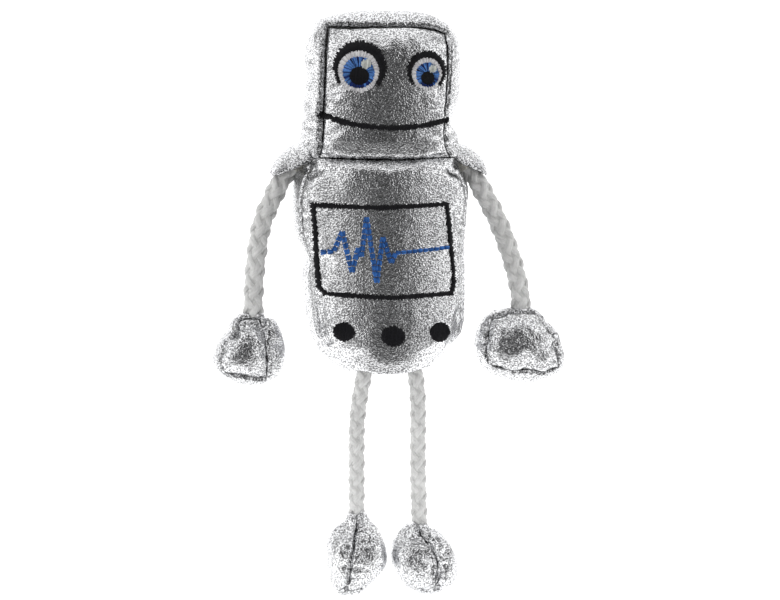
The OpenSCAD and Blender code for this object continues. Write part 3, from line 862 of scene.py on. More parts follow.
class PUPPET_OT_trunk(bpy.types.Operator):
    """Sews and stuffs the trunk from its chest, side and back panels, open at the hem"""
    bl_idname = "puppet.trunk"
    bl_label = "Trunk"

    def execute(self, context):
        size = (42, 26, 50)
        low, high = box_mm("chest_panel", "right_side_panel", "left_side_panel", "trunk_back")
        neck = high[2]
        places, faces, sides = lattice(*size, open_end="top")
        depth = low[1] + 5.0, high[1] - 5.4
        points = bag_points(places, size, trunk_outlines(neck, size), depth, 0.9, 5.4,
                            [(0, 1.09), (0.12, 1.09), (0.35, 1.02), (0.8, 1), (1, 1.055)], falls=(0.06, 0.46))
        wrap, back_fold = 7, size[1] - 5
        panel = []
        for face, side in zip(faces, sides):
            i = places[face, 0].mean()
            j = places[face, 1].mean()
            flank = 1 if i < size[0] / 2 else 2
            back = 3 if side == "back" or j > back_fold else flank
            panel.append(0 if side == "front" or (j < wrap and side != "back") else back)
        j, k = places[:, 1], places[:, 2]
        edge = (places[:, 0] % size[0] == 0) | (k == 0)
        seam = edge & ((j == wrap) | (j == back_fold))
        points = stuffed(points, faces, (k == size[2]) | (k == 0), seam, 1.8)
        fill_piece("trunk_fill", "torso", "trunk_stuffing", points, faces, 1.5, 6)
        fine = panelled(points, faces, panel, 2)
        creases = [(((-29, -15, 37), (-20, -19, 33)), 2.2, 1.3), (((-30, -6, 36), (-25, -16, 34)), 2.6, 1.4),
                   (((-27, -16, 62), (-19, -20, 66)), 1.2, 0.8), (((-29, -14, 57), (-25, -17, 47)), 1.1, 0.8),
                   (((27, -15, 64), (24.5, -18, 48)), 1.7, 1.9), (((19, -20, 66), (27, -14, 62)), 1.3, 0.9),
                   (((24, -17, 52), (22, -19, 40)), 1.6, 0.7), (((-10, -20, 3), (14, -20, 3)), 1.2, 0.5)]
        relieved(fine, 21, {}, creases, 0.04, 0.4)
        remember_surface("trunk", fine)
        mouth = box_mm("hem_binding")[1][0] - 0.4

        def outside_mouth(centre):
            return centre.z > 6 or centre.x ** 2 + centre.y ** 2 > mouth ** 2

        for name, number in TRUNK_PANELS.items():
            panel_piece(fine, number, name + "_cloth", "torso", name, material_named("silver"), outside_mouth)
        return {"FINISHED"}


class PUPPET_OT_hem(bpy.types.Operator):
    """Folds the hem round the mouth and hangs the finger sleeve inside it"""
    bl_idname = "puppet.hem"
    bl_label = "Hem and sleeve"

    def execute(self, context):
        outer = box_mm("hem_binding")[1][0]
        turns, ring = 120, 16
        a, b = np.meshgrid(np.linspace(0, 2 * np.pi, turns, endpoint=False),
                           np.linspace(0, 2 * np.pi, ring, endpoint=False), indexing="ij")
        reach = outer - 0.55 + 0.95 * np.cos(b) + 0.18 * np.sin(17 * a) + 0.12 * np.sin(31 * a + 1)
        rise = 0.9 + 1.5 * np.sin(b) + 0.25 * np.sin(5 * a + 2)
        points = np.stack([reach * np.cos(a), reach * np.sin(a), rise], axis=-1).reshape(-1, 3)
        faces = [[i * ring + j, (i + 1) % turns * ring + j, (i + 1) % turns * ring + (j + 1) % ring,
                  i * ring + (j + 1) % ring] for i in range(turns) for j in range(ring)]
        hem = mesh_piece("hem_cloth_fold", points, faces, material_named("silver_crumpled"))
        finish_piece(hem, "torso", ["hem_binding"])

        wide, _, tall = box_mm("finger_sleeve")[1]
        profile = [[wide - 0.55, 1.2]] + [[wide - 0.55, tall * t] for t in np.linspace(0.05, 0.93, 40)]
        profile += [[(wide - 0.55) * math.cos(t), tall * (0.93 + 0.06 * math.sin(t))] for t in
                    np.linspace(0.2, 1.45, 6)]
        steps = 72
        rows = []
        for n, (radius, z) in enumerate(profile):
            for s in range(steps):
                angle = 2 * math.pi * s / steps
                sway = 0.16 * math.sin(5 * angle + z * 0.23) + 0.12 * math.sin(0.9 * z + 2 * angle)
                rows.append([(radius + sway) * math.cos(angle), (radius + sway) * math.sin(angle), z])
        faces = [[n * steps + s, n * steps + (s + 1) % steps, (n + 1) * steps + (s + 1) % steps,
                  (n + 1) * steps + s] for n in range(len(profile) - 1) for s in range(steps)]
        faces.append([(len(profile) - 1) * steps + s for s in range(steps)])
        sleeve = mesh_piece("finger_sleeve_cloth", rows, faces, material_named("lining"))
        wall = sleeve.modifiers.new("Lining thickness", "SOLIDIFY")
        wall.thickness, wall.offset = 0.4 * MM, 1
        finish_piece(sleeve, "torso", ["finger_sleeve"])
        stitched("hem_stitches", [[(math.cos(t) * (outer + 0.42), math.sin(t) * (outer + 0.42), 1.9)
                                   for t in np.linspace(0, 2 * math.pi, 90)]], "torso", "white", 1.9, 1.3, 0.13)
        return {"FINISHED"}


def stitched(name, chains, body, thread, step, length, radius):
    obj = grown(name, chains, tree_named("beads"), {
        "Step": step * MM, "Stitch length": length * MM, "Thread radius": radius * MM,
        "Material": material_named(thread)})
    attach(obj, body)
    return obj


class PUPPET_OT_caps(bpy.types.Operator):
    """Folds a cap of cloth over each shoulder, where the arm ropes are sewn in"""
    bl_idname = "puppet.caps"
    bl_label = "Shoulder caps"

    def execute(self, context):
        for side, body in (("right", -1), ("left", 1)):
            node = side + "_shoulder_cap"
            low, high = box_mm(node)
            tip = min(abs(low[0]), abs(high[0])), max(abs(low[0]), abs(high[0]))
            inner, outer = tip[0] - 1.2, tip[1] - 0.2
            rim_z, top_z = low[2] + 0.2, high[2] - 1.4
            along, arch = 22, 40
            s, a = np.meshgrid(np.linspace(0, 1, along), np.linspace(0, 1, arch), indexing="ij")
            x = inner + (outer - inner) * np.sin(s * np.pi / 2) ** 0.9
            open_ = np.sqrt(np.clip(1 - ((x - inner) / (outer - inner + 0.25)) ** 2, 0.01, 1))
            bend = np.pi * a
            edge = rim_z + 0.42 * (outer - x)
            y = ARM_Y - 11.2 * open_ * np.cos(bend)
            z = edge + (top_z - rim_z - 3.6 * (1 - s)) * open_ * np.sin(bend) ** 0.8
            roll = np.exp(-(np.minimum(a, 1 - a) / 0.035) ** 2)
            points = np.stack([x, y, z], axis=-1).reshape(-1, 3)
            crinkle = 0.22 * waves(points, 4.5, 31 + body) + 0.12 * waves(points, 2.0, 33 + body)
            points[:, 2] += crinkle
            points[:, 1] += (np.sign(y - ARM_Y) * roll * 0.5).ravel()
            points[:, 0] *= body
            quads = [[i * arch + k, i * arch + k + 1, (i + 1) * arch + k + 1, (i + 1) * arch + k]
                     for i in range(along - 1) for k in range(arch - 1)]
            if body > 0:
                quads = [q[::-1] for q in quads]
            obj = mesh_piece(node + "_cloth", points, quads, material_named("silver"))
            # Painted shade along both rolled rims of the cap, through the welt mask.
            add_attribute(obj.data, "welt", (np.exp(-(np.minimum(a, 1 - a) / 0.06) ** 2) * 0.9).ravel())
            # The caps get no painted shade along seam lines.
            add_attribute(obj.data, "crease", (0 * a).ravel())
            bm = bmesh.new()
            bm.from_mesh(obj.data)
            bmesh.ops.recalc_face_normals(bm, faces=bm.faces)
            if sum(f.normal.z * f.calc_area() for f in bm.faces) < 0:
                bmesh.ops.reverse_faces(bm, faces=bm.faces)
            bm.to_mesh(obj.data)
            bm.free()
            smooth = obj.modifiers.new("Smooth", "SUBSURF")
            smooth.levels = smooth.render_levels = 1
            wall = obj.modifiers.new("Cap thickness", "SOLIDIFY")
            wall.thickness, wall.offset = 0.7 * MM, -1
            finish_piece(obj, "torso", [node])
            lower = [[points[i * arch + k] for i in range(along)] for k in (2, arch - 3)]
            stitched(side + "_cap_stitches", lower, "torso", "white", 1.7, 1.1, 0.12)
        return {"FINISHED"}


# Hands and feet: outlines as left, right, bottom and top, each point [x from the middle, z].

HAND_FRONT = {
    "right": ([[-10.9, .8], [-10.2, 2.2], [-9.4, 7.7], [-6.6, 12.5], [-3.4, 17.0]],
              [[5.3, -2.4], [5.6, 2.2], [5.3, 7], [4.7, 11.8], [2.9, 17.0]],
              [[-10.9, .8], [-8, -1], [-3.2, -1.9], [1.6, -2.6], [5.3, -2.4]],
              [[-3.4, 17.0], [0, 17.6], [2.9, 17.0]]),
    "left": ([[-12.2, 1], [-12.9, 5.2], [-12.4, 8.6], [-11.6, 12.5], [-9.6, 16]],
             [[13.2, -.4], [12.2, 4.5], [11.2, 8.6], [9.4, 12.8], [6.5, 16.6]],
             [[-12.2, 1], [-8, -.3], [-4, -1.9], [1.5, -.8], [7, -2.2], [13.2, -.4]],
             [[-9.6, 16], [-4, 17.6], [1, 18], [6.5, 16.6]]),
}
HAND_MIDDLE = {
    "right": ([[-10.7, .4], [-11.7, 2.4], [-11.3, 3.9], [-9.4, 8.4], [-7.2, 12.5], [-4.9, 16.6], [-2.2, 19]],
              [[8.4, -2.4], [10.9, .8], [11.3, 5.1], [10.7, 8], [10.4, 11.8], [8.6, 15.7], [4.2, 18.9]],
              [[-10.7, .4], [-6.5, -2.9], [-1.6, -4.5], [3.8, -5.1], [8.4, -2.4]],
              [[-2.2, 19], [1, 19.6], [4.2, 18.9]]),
    "left": ([[-12.6, .6], [-13.9, 5.4], [-13.4, 8.6], [-13.1, 12.5], [-11.2, 16.8]],
             [[13.9, -1], [14.2, .6], [13.4, 4.5], [12.4, 8.6], [10.8, 12.8], [8.9, 16.3]],
             [[-12.6, .6], [-9.2, -1.3], [-5, -3.2], [-.2, -4.3], [4, -4.9], [8.9, -3.4], [13.9, -1]],
             [[-11.2, 16.8], [-8.3, 18.7], [-2.8, 19.6], [4.4, 19.5], [8.9, 16.3]]),
}
HAND_BACK = {
    "right": ([[-8.5, .5], [-9, 4], [-7, 11], [-2.8, 17]], [[8.5, -1], [9.2, 4], [7.6, 11], [3.2, 17]],
              [[-8.5, .5], [0, -1.8], [8.5, -1]], [[-2.8, 17], [0, 17.6], [3.2, 17]]),
    "left": ([[-11.5, 1], [-12, 6], [-10.5, 14], [-8, 16.5]], [[12, 0], [11.5, 6], [9.5, 13], [6.5, 16]],
             [[-11.5, 1], [0, -1.5], [12, 0]], [[-8, 16.5], [0, 17.6], [6.5, 16]]),
}
FOOT_MIDDLE = {
    "right": ([[-7.6, -70.6], [-8.6, -69], [-9.5, -62.9], [-9.8, -58.3], [-9, -54.2], [-6.2, -49.6],
               [-3.9, -46], [-2.4, -44.2]],
              [[3, -70.7], [4.1, -68.4], [6.7, -65.6], [9.1, -62], [9.4, -58.8], [8.1, -53.8], [5.3, -48.5],
               [2.9, -44.2]],
              [[-7.6, -70.6], [-3.9, -71.6], [.2, -71.7], [3, -70.7]],
              [[-2.4, -44.2], [.2, -43.7], [2.9, -44.2]]),
    "left": ([[-4.6, -70.8], [-6.5, -68.8], [-8.8, -65.6], [-10.4, -62], [-10.6, -58.3], [-9.7, -55.1],
              [-7.9, -52.4], [-6, -49.2], [-4.4, -47.9]],
             [[6.8, -70.6], [9, -68.8], [10.4, -66.6], [10.6, -62.9], [9.7, -59.2], [8.1, -55.6], [5.5, -52.4],
              [2.7, -50], [1.8, -48.4]],
             [[-4.6, -70.8], [-1.4, -71.6], [2.7, -71.5], [6.8, -70.6]],
             [[-4.4, -47.9], [-1.5, -47.5], [1.8, -48.4]]),
}
FOOT_SEAM = {
    "right": [[-.5, -45], [-2.1, -50], [-2.9, -55], [-3.5, -60], [-4, -66], [-4, -70]],
    "left": [[-1.2, -50.3], [.1, -52.8], [1.5, -54.9], [2.9, -57], [3.9, -59.2], [4.3, -63.4], [3.4, -66.6],
             [3.2, -69.8]],
}


def limb_grid(outline, middle, size, narrower=0.0, shorter=0.0):
    """A limb outline's grid, drawn in towards its middle by the shares narrower and shorter."""
    heights = [p[1] for side in outline for p in side]
    waist = (min(heights) + max(heights)) / 2
    sides = [[[middle + x * (1 - narrower), waist + (z - waist) * (1 - shorter)] for x, z in side]
             for side in outline]
    return side_outline(*sides, size[0], size[2])


class PUPPET_OT_hands(bpy.types.Operator):
    """Sews and stuffs both hands from a front, a back and a gusset"""
    bl_idname = "puppet.hands"
    bl_label = "Hands"

    def execute(self, context):
        size = (18, 14, 18)
        for side, seed in (("right", 41), ("left", 51)):
            names = [f"{side}_hand_{part}" for part in ("front", "back", "gusset")]
            low, high = box_mm(*names)
            middle = (low[0] + high[0]) / 2
            places, faces, sides = lattice(*size)
            outlines = [limb_grid(shape[side], middle, size) for shape in (HAND_FRONT, HAND_MIDDLE, HAND_BACK)]
            points = bag_points(places, size, outlines, (low[1] + 0.6, high[1] - 0.4), 0.7, 1.2,
                                [(0, 0.9), (0.3, 1), (0.75, 0.8), (1, 0.42)])
            panel = [{"front": 0, "back": 1}.get(kind, 2) for kind in sides]
            i, j, k = places.T
            rim = ((j == 0) | (j == size[1])) & ((i % size[0] == 0) | (k == 0))
            points = stuffed(points, faces, k == size[2], rim, 1.5)
            fill_piece(side + "_hand_fill", side + "_hand", side + "_hand_stuffing", points, faces, 1.2, seed)
            fine = panelled(points, faces, panel, 2)
            relieved(fine, seed, {(2, 0): even(0.35)}, (), 0.12, 0.6, 0.4)
            for number, name in enumerate(names):
                panel_piece(fine, number, name + "_cloth", side + "_hand", name,
                            material_named("silver_crumpled"))
        return {"FINISHED"}


class PUPPET_OT_feet(bpy.types.Operator):
    """Sews and stuffs both feet from an outer and an inner panel and a sole"""
    bl_idname = "puppet.feet"
    bl_label = "Feet"

    def execute(self, context):
        size = (20, 16, 20)
        for side, seed in (("right", 61), ("left", 71)):
            lower = ("outer", "inner") if side == "right" else ("inner", "outer")
            names = [f"{side}_foot_{part}" for part in lower + ("sole",)]
            low, high = box_mm(*names)
            middle = (low[0] + high[0]) / 2
            places, faces, sides = lattice(*size)
            shape = FOOT_MIDDLE[side]
            outlines = [limb_grid(shape, middle, size, 0.42, 0.12), limb_grid(shape, middle, size),
                        limb_grid(shape, middle, size, 0.42, 0.12)]
            seam = [[middle + x + 0.35 * math.sin(1.9 * z), z] for x, z in FOOT_SEAM[side]]
            points = bag_points(places, size, outlines, (low[1] + 0.6, high[1] - 0.6), 0.9, 0.9,
                                [(0, 0.8), (0.12, 0.95), (0.45, 1), (0.8, 0.7), (1, 0.42)], seam)
            panel = []
            for face, kind in zip(faces, sides):
                half = 0 if places[face, 0].mean() < size[0] / 2 else 1
                panel.append(2 if kind == "bottom" else half)
            i, j, k = places.T
            centre = (i == size[0] // 2) & ((j == 0) | (j == size[1]) | (k == size[2]))
            round_sole = (k == 0) & ((i % size[0] == 0) | (j % size[1] == 0))
            points = stuffed(points, faces, k == size[2], centre | round_sole, 1.5)
            fill_piece(side + "_foot_fill", side + "_foot", side + "_foot_stuffing", points, faces, 1.2, seed)
            fine = panelled(points, faces, panel, 2)
            bulge = {(1, 0) if side == "right" else (0, 1): even(0.6)}
            relieved(fine, seed, bulge, (), 0.1, 0.8, 0.75)
            for number, name in enumerate(names):
                panel_piece(fine, number, name + "_cloth", side + "_foot", name,
                            material_named("silver_crumpled"))
        return {"FINISHED"}


# Ropes: each route is [x, z] in millimetres, from the sewn end down, and lies in one plane.

ARM_ROUTES = {
    "right": [[-26.6, 68.4], [-28.6, 66], [-30.5, 63], [-32.4, 59.5], [-34.3, 55.5], [-36.4, 51], [-38.2, 45.5],
              [-39.3, 39], [-40.1, 32], [-40.5, 25], [-40.6, 19], [-40.6, 14]],
    "left": [[26.6, 68.4], [28.6, 66], [30.6, 63], [32.6, 59.5], [34.8, 55.5], [37.2, 51], [39.7, 45.5],
             [42.2, 39], [44.4, 32], [46, 25], [46.5, 19], [46.5, 14]],
}
LEG_ROUTES = {
    "right": [[-5.6, 8], [-5.9, 4.5], [-6.3, 1], [-7.2, -4], [-8.2, -10], [-8.8, -17], [-8.9, -25], [-8.9, -33],
              [-8.9, -41], [-9, -48]],
    "left": [[9.4, 8], [9.6, 4.5], [9.9, 1], [10.5, -4], [10.9, -10], [10.9, -18], [10.9, -27], [11, -36],
             [11.3, -45], [11.6, -53]],
}
BINDING_TURNS = 9
BRAID_SWELL = 1.12


def braid(name, path, diameter):
    """Eight strands plaited one over, one under round a core, with a UV map along each strand."""
    radius = diameter / 2 / MM * BRAID_SWELL
    lay = 2 * math.pi / (bpy.context.scene.puppet_rope.plait * diameter / MM)
    run = np.concatenate([[0], np.cumsum(np.linalg.norm(np.diff(path, axis=0), axis=1))])
    ahead = np.gradient(path, axis=0)
    ahead /= np.linalg.norm(ahead, axis=1)[:, None]
    side = np.stack([ahead[:, 2], 0 * ahead[:, 0], -ahead[:, 0]], axis=1)
    out_y = np.array([0, 1.0, 0])
    points, faces, uvs = [], [], []
    ring = 10
    count = len(path)
    for strand in range(8):
        way = 1 if strand < 4 else -1
        turn = way * lay * run + math.pi / 2 * (strand % 4)
        reach = radius * (0.645 + way * 0.13 * np.cos(4 * lay * run))
        centre_way = np.cos(turn)[:, None] * side + np.sin(turn)[:, None] * out_y
        round_way = -np.sin(turn)[:, None] * side + np.cos(turn)[:, None] * out_y
        slant = way * lay * reach
        across = round_way - ahead * slant[:, None]
        across /= np.linalg.norm(across, axis=1)[:, None]
        centre = path + centre_way * reach[:, None]
        first = len(points)
        for k in range(ring):
            angle = 2 * math.pi * k / ring
            points.extend(centre + across * (0.335 * radius * math.cos(angle))
                          + centre_way * (0.215 * radius * math.sin(angle)))
        for k in range(ring):
            for n in range(count - 1):
                a, b = first + k * count + n, first + (k + 1) % ring * count + n
                quad = [a, a + 1, b + 1, b]
                faces.append(quad if way > 0 else quad[::-1])
                corner = [(k / ring, run[n]), (k / ring, run[n + 1]), ((k + 1) / ring, run[n + 1]),
                          ((k + 1) / ring, run[n])]
                uvs.extend(corner if way > 0 else corner[::-1])
        for n in (0, count - 1):
            faces.append([first + k * count + n for k in range(ring)])
            uvs.extend([(0.5, run[n])] * ring)
    core = 12
    first = len(points)
    for k in range(core):
        angle = 2 * math.pi * k / core
        points.extend(path + (side * math.cos(angle) + out_y * math.sin(angle)) * radius * 0.66)
    for k in range(core):
        for n in range(count - 1):
            a, b = first + k * count + n, first + (k + 1) % core * count + n
            faces.append([a, a + 1, b + 1, b])
            uvs.extend([(0, 0)] * 4)
    for n in (0, count - 1):
        faces.append([first + k * count + n for k in range(core)])
        uvs.extend([(0, 0)] * core)
    obj = mesh_piece(name, points, faces, material_named("rope"))
    layer = obj.data.uv_layers.new(name="strand")
    layer.data.foreach_set("uv", np.array([(u, v * MM) for u, v in uvs]).ravel())
    bm = bmesh.new()
    bm.from_mesh(obj.data)
    bmesh.ops.recalc_face_normals(bm, faces=bm.faces)
    bm.to_mesh(obj.data)
    bm.free()
    return obj


def add_rope(name, node, route, y, diameter):
    """Plaits a rope along its route."""
    path = smooth_through([[x, y, z] for x, z in route], 190)
    path[:, 1] = y
    obj = braid(name, path, diameter)
    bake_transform(obj)
    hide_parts(node)
    return path


def add_binding(name, node, path, diameter, body, start, turns):
    """Winds sewing thread round the rope near its sewn end."""
    run = np.concatenate([[0], np.cumsum(np.linalg.norm(np.diff(path, axis=0), axis=1))])
    ahead = path[8] - path[0]
    ahead /= np.linalg.norm(ahead)
    side = np.array([ahead[2], 0, -ahead[0]])
    chain = []
    for step in np.linspace(0, turns, turns * 18 + 1):
        angle = 2 * math.pi * step
        at = np.array([np.interp(start + step * 0.33, run, path[:, c]) for c in range(3)])
        around = side * math.cos(angle) + np.array([0, 1, 0]) * math.sin(angle)
        chain.append(at + around * (diameter / 2 / MM + 0.2))
    obj = grown(name, [chain], tree_named("thread"), {
        "Thread radius": 0.2 * MM, "Sides": 6, "Material": material_named("binding")})
    finish_piece(obj, body, [node])


def add_limb_ropes(limb, routes, y, diameter, start):
    for side, route in routes.items():
        body = f"{side}_{limb}"
        root = body + "_root"
        path = add_rope(body + "_braid", body + "_rope", route, y, diameter)
        add_binding(body + "_winding", body + "_binding", path, diameter, root, start, BINDING_TURNS)


class PUPPET_OT_arms(bpy.types.Operator):
    """Plaits the arm ropes and winds their sewn ends"""
    bl_idname = "puppet.arms"
    bl_label = "Arms"

    def execute(self, context):
        add_limb_ropes("arm", ARM_ROUTES, ARM_Y, context.scene.puppet_rope.arm, 0.5)
        return {"FINISHED"}


class PUPPET_OT_legs(bpy.types.Operator):
    """Plaits the leg ropes and winds their sewn ends"""
    bl_idname = "puppet.legs"
    bl_label = "Legs"

    def execute(self, context):
        low, high = box_mm("right_leg_rope")
        y = (low[1] + high[1]) / 2
        add_limb_ropes("leg", LEG_ROUTES, y, context.scene.puppet_rope.leg, 0.6)
        return {"FINISHED"}


# Embroidery


def stitch(surface, a, b, rise, count=4):
    """One stitch from a to b, [x, z], that arches up from the cloth."""
    ends = np.array(a, float), np.array(b, float)
    chain = []
    for t in np.linspace(0, 1, count):
        x, z = ends[0] + (ends[1] - ends[0]) * t
        chain.append(on_surface(surface, x, z, 0.12 + rise * math.sin(math.pi * t)))
    return chain


def satin_line(surface, line, width, rise, closed=False, slant=0.25, seed=1):
    """Stitches side by side across a line."""
    rng = np.random.default_rng(seed)
    pitch = bpy.context.scene.puppet_thread.pitch
    corners = [np.array(p, float) for p in line]
    if closed:
        corners.append(corners[0])
    chains = []
    for a, b in zip(corners, corners[1:]):
        run = b - a
        length = np.linalg.norm(run)
        ahead = run / length
        over = np.array([-ahead[1], ahead[0]]) + slant * ahead
        for t in np.arange(-0.25 * width, length + 0.25 * width, pitch):
            half = width / 2 * rng.uniform(0.5, 1.42)
            middle = a + ahead * t
            chains.append(stitch(surface, middle - over * half, middle + over * half, rise))
    return chains


def satin_ring(surface, inner, outer, rise, start=0.0, stop=2 * math.pi, seed=1):
    """Stitches that run out from the inner disc's edge to the outer one's. A disc is x, z and radius."""
    rng = np.random.default_rng(seed)
    pitch = bpy.context.scene.puppet_thread.pitch
    centre = np.array(outer[:2])
    chains = []
    for angle in np.arange(start, stop, pitch * 0.9 / outer[2]):
        way = np.array([math.cos(angle), math.sin(angle)])
        offset = centre - np.array(inner[:2])
        along = offset @ way
        near = -along + math.sqrt(max(0.0, along ** 2 - offset @ offset + inner[2] ** 2))
        far = outer[2] + rng.uniform(-0.6, 0.35)
        if far - near > 0.25:
            chains.append(stitch(surface, centre + way * (near - 0.1), centre + way * far, rise))
    return chains


def satin_disc(surface, disc, rise, lean=0.0, seed=1, squash=1.0):
    """Stitches side by side across a whole disc, each shorter than the disc by the share squash."""
    rng = np.random.default_rng(seed)
    pitch = bpy.context.scene.puppet_thread.pitch
    x, z, radius = disc
    along, step = np.array([math.sin(lean), math.cos(lean)]), np.array([math.cos(lean), -math.sin(lean)])
    chains = []
    for t in np.arange(-radius + pitch / 2, radius, pitch):
        half = math.sqrt(radius ** 2 - t ** 2) * squash + rng.uniform(-0.25, 0.2)
        middle = np.array([x, z]) + step * t
        chains.append(stitch(surface, middle - along * half, middle + along * half, rise, 6))
    return chains


def embroidered(name, chains, node, thread, width=None):
    width = width or bpy.context.scene.puppet_thread.width
    obj = grown(name, chains, tree_named("thread"), {
        "Thread radius": width / 2 * MM, "Sides": 6, "Material": material_named(thread)})
    finish_piece(obj, "torso", [node] if node else [])
    return obj


# Eye discs: [x, height above the neck seam, radius] of the lid, white, iris, pupil and glint.
EYES = {
    "right": [[-8.5, 28.3, 8.2], [-8.9, 27, 6.5], [-8.9, 26.7, 5], [-8.7, 25.6, 3], [-6.6, 29.3, 1.55]],
    "left": [[12.8, 27.1, 6.3], [12.7, 26.3, 5.1], [12.9, 26, 3.9], [13, 24.9, 2.2], [14.6, 27.8, 1.25]],
}
LID_FROM, LID_TO = math.radians(-44), math.radians(224)
MOUTH = [[-20.4, 13.6], [-11, 10.6], [0.5, 9.4], [11, 10], [19.8, 11.8]]
# Chest embroidery: [x, drop below the neck seam].
SCREEN = [[-22.8, 14.8], [-2, 15.6], [19.6, 14.7], [22.3, 39.3], [21.2, 43], [1, 43.9], [-19.3, 42.7],
          [-20.9, 40.6]]
PULSE = [[-20.6, 29.8], [-16.6, 29.3], [-14.1, 22.9], [-11.1, 35.9], [-9.2, 28], [-8.2, 31], [-6.6, 18.4],
         [-3.4, 39.2], [-1.5, 24.7], [1.2, 33], [2.6, 29.8], [20.6, 28.4]]
DOTS = [[-13.6, 54.6, 3.1], [1.8, 56, 3.4], [17.3, 55.2, 3.1]]
# The share of its radius that each dot is wider by, and the share of its height that is stitched.
DOT_SHAPES = [[1.06, 0.92], [1.12, 0.84], [1.06, 0.94]]


class PUPPET_OT_face(bpy.types.Operator):
    """Embroiders the eyes and the mouth on the face panel"""
    bl_idname = "puppet.face"
    bl_label = "Face embroidery"

    def execute(self, context):
        neck = box_mm("face_panel")[0][2]
        for side, discs in EYES.items():
            lid, white, iris, pupil, glint = [(x, neck + z, radius) for x, z, radius in discs]
            eye = side + "_eye"
            embroidered(eye + "_white_satin", satin_ring("head", iris, white, 0.22, seed=3),
                        side + "_eye_white", "white")
            embroidered(eye + "_lid_satin", satin_ring("head", white, lid, 0.5, LID_FROM, LID_TO, seed=4),
                        side + "_eye_lid", "black")
            rays = satin_ring("head", pupil, iris, 0.34, seed=5)
            rng = np.random.default_rng(6)
            low = [rng.random() < 0.3 + 0.6 * (ray[0][2] < pupil[1] - 0.45 * pupil[2]) for ray in rays]
            embroidered(eye + "_iris_satin", [ray for ray, dark in zip(rays, low) if not dark], side + "_iris",
                        "iris")
            embroidered(eye + "_iris_shade", [ray for ray, dark in zip(rays, low) if dark], None, "navy")
            embroidered(eye + "_pupil_satin", satin_disc("head", pupil, 0.55, 0.1, 7), side + "_pupil", "black")
            embroidered(eye + "_glint_satin", satin_disc("head", glint, 0.85, 0.1, 8), side + "_glint", "glint")
        line = smooth_through([[x, neck + z] for x, z in MOUTH], 16)
        embroidered("mouth_satin", satin_line("head", line, 1.35, 0.4, slant=0.4, seed=9), "mouth", "black")
        return {"FINISHED"}


class PUPPET_OT_chest(bpy.types.Operator):
    """Embroiders the screen, its pulse line and the three dots on the chest"""
    bl_idname = "puppet.chest"
    bl_label = "Chest embroidery"

    def execute(self, context):
        neck = box_mm("chest_panel")[1][2]
        frame_line = [[x, neck - drop] for x, drop in SCREEN]
        embroidered("screen_frame_satin", satin_line("trunk", frame_line, 1.25, 0.42, True, 0.35, 10),
                    "screen_frame", "black")
        line = [np.array([x, neck - drop]) for x, drop in PULSE]
        chains = []
        for a, b in zip(line, line[1:]):
            length = np.linalg.norm(b - a)
            ahead = (b - a) / length
            over = np.array([-ahead[1], ahead[0]])
            count = max(1, round(length / 1.9))
            spread = 0.36 if length > 12 and abs(ahead[1]) < 0.2 else 0.58
            for n in range(count):
                start = a + ahead * (length / count * n + 0.3)
                stop = a + ahead * (length / count * (n + 1) - 0.3)
                for offset in (-spread, 0, spread):
                    chains.append(stitch("trunk", start + over * offset, stop + over * offset * 0.7, 0.6, 6))
        embroidered("pulse_stitches", chains, "pulse_line", "blue", 0.56)
        chains = []
        for n, ((x, drop, radius), (wide, squash)) in enumerate(zip(DOTS, DOT_SHAPES)):
            chains += satin_disc("trunk", (x, neck - drop, radius * wide), 0.5, 0.15, 12 + n, squash)
        embroidered("chest_dots_satin", chains, "chest_dots", "black")
        return {"FINISHED"}


# Stage


AIM = Vector((0.00277, -0.010, 0.023))
TURN, LIFT = math.radians(8), math.radians(5)
CAMERA_AWAY, LENS = 0.8, 115.4
# The floor is pale behind the first y and dark grey in front of the second, to darken the cloth's reflections.
PALE_FROM_Y, DARK_FROM_Y = -0.03, -0.24
FLOOR_GLOW = 0.7
CARD_TURN, CARD_AWAY, CARD_HALF_WIDTH = math.radians(11), 1.3, 0.63
WORLD_LIGHT = 0.26
# Name, place, width and power of each light.
SOFT_BOXES = (("left_soft_box", (-0.9, -0.63, 0.15), 1.6, 8.2),
              ("right_soft_box", (1.0, -0.46, 0.15), 1.6, 8.2),
              ("top_soft_box", (0.0, -0.1, 1.3), 2.0, 11))


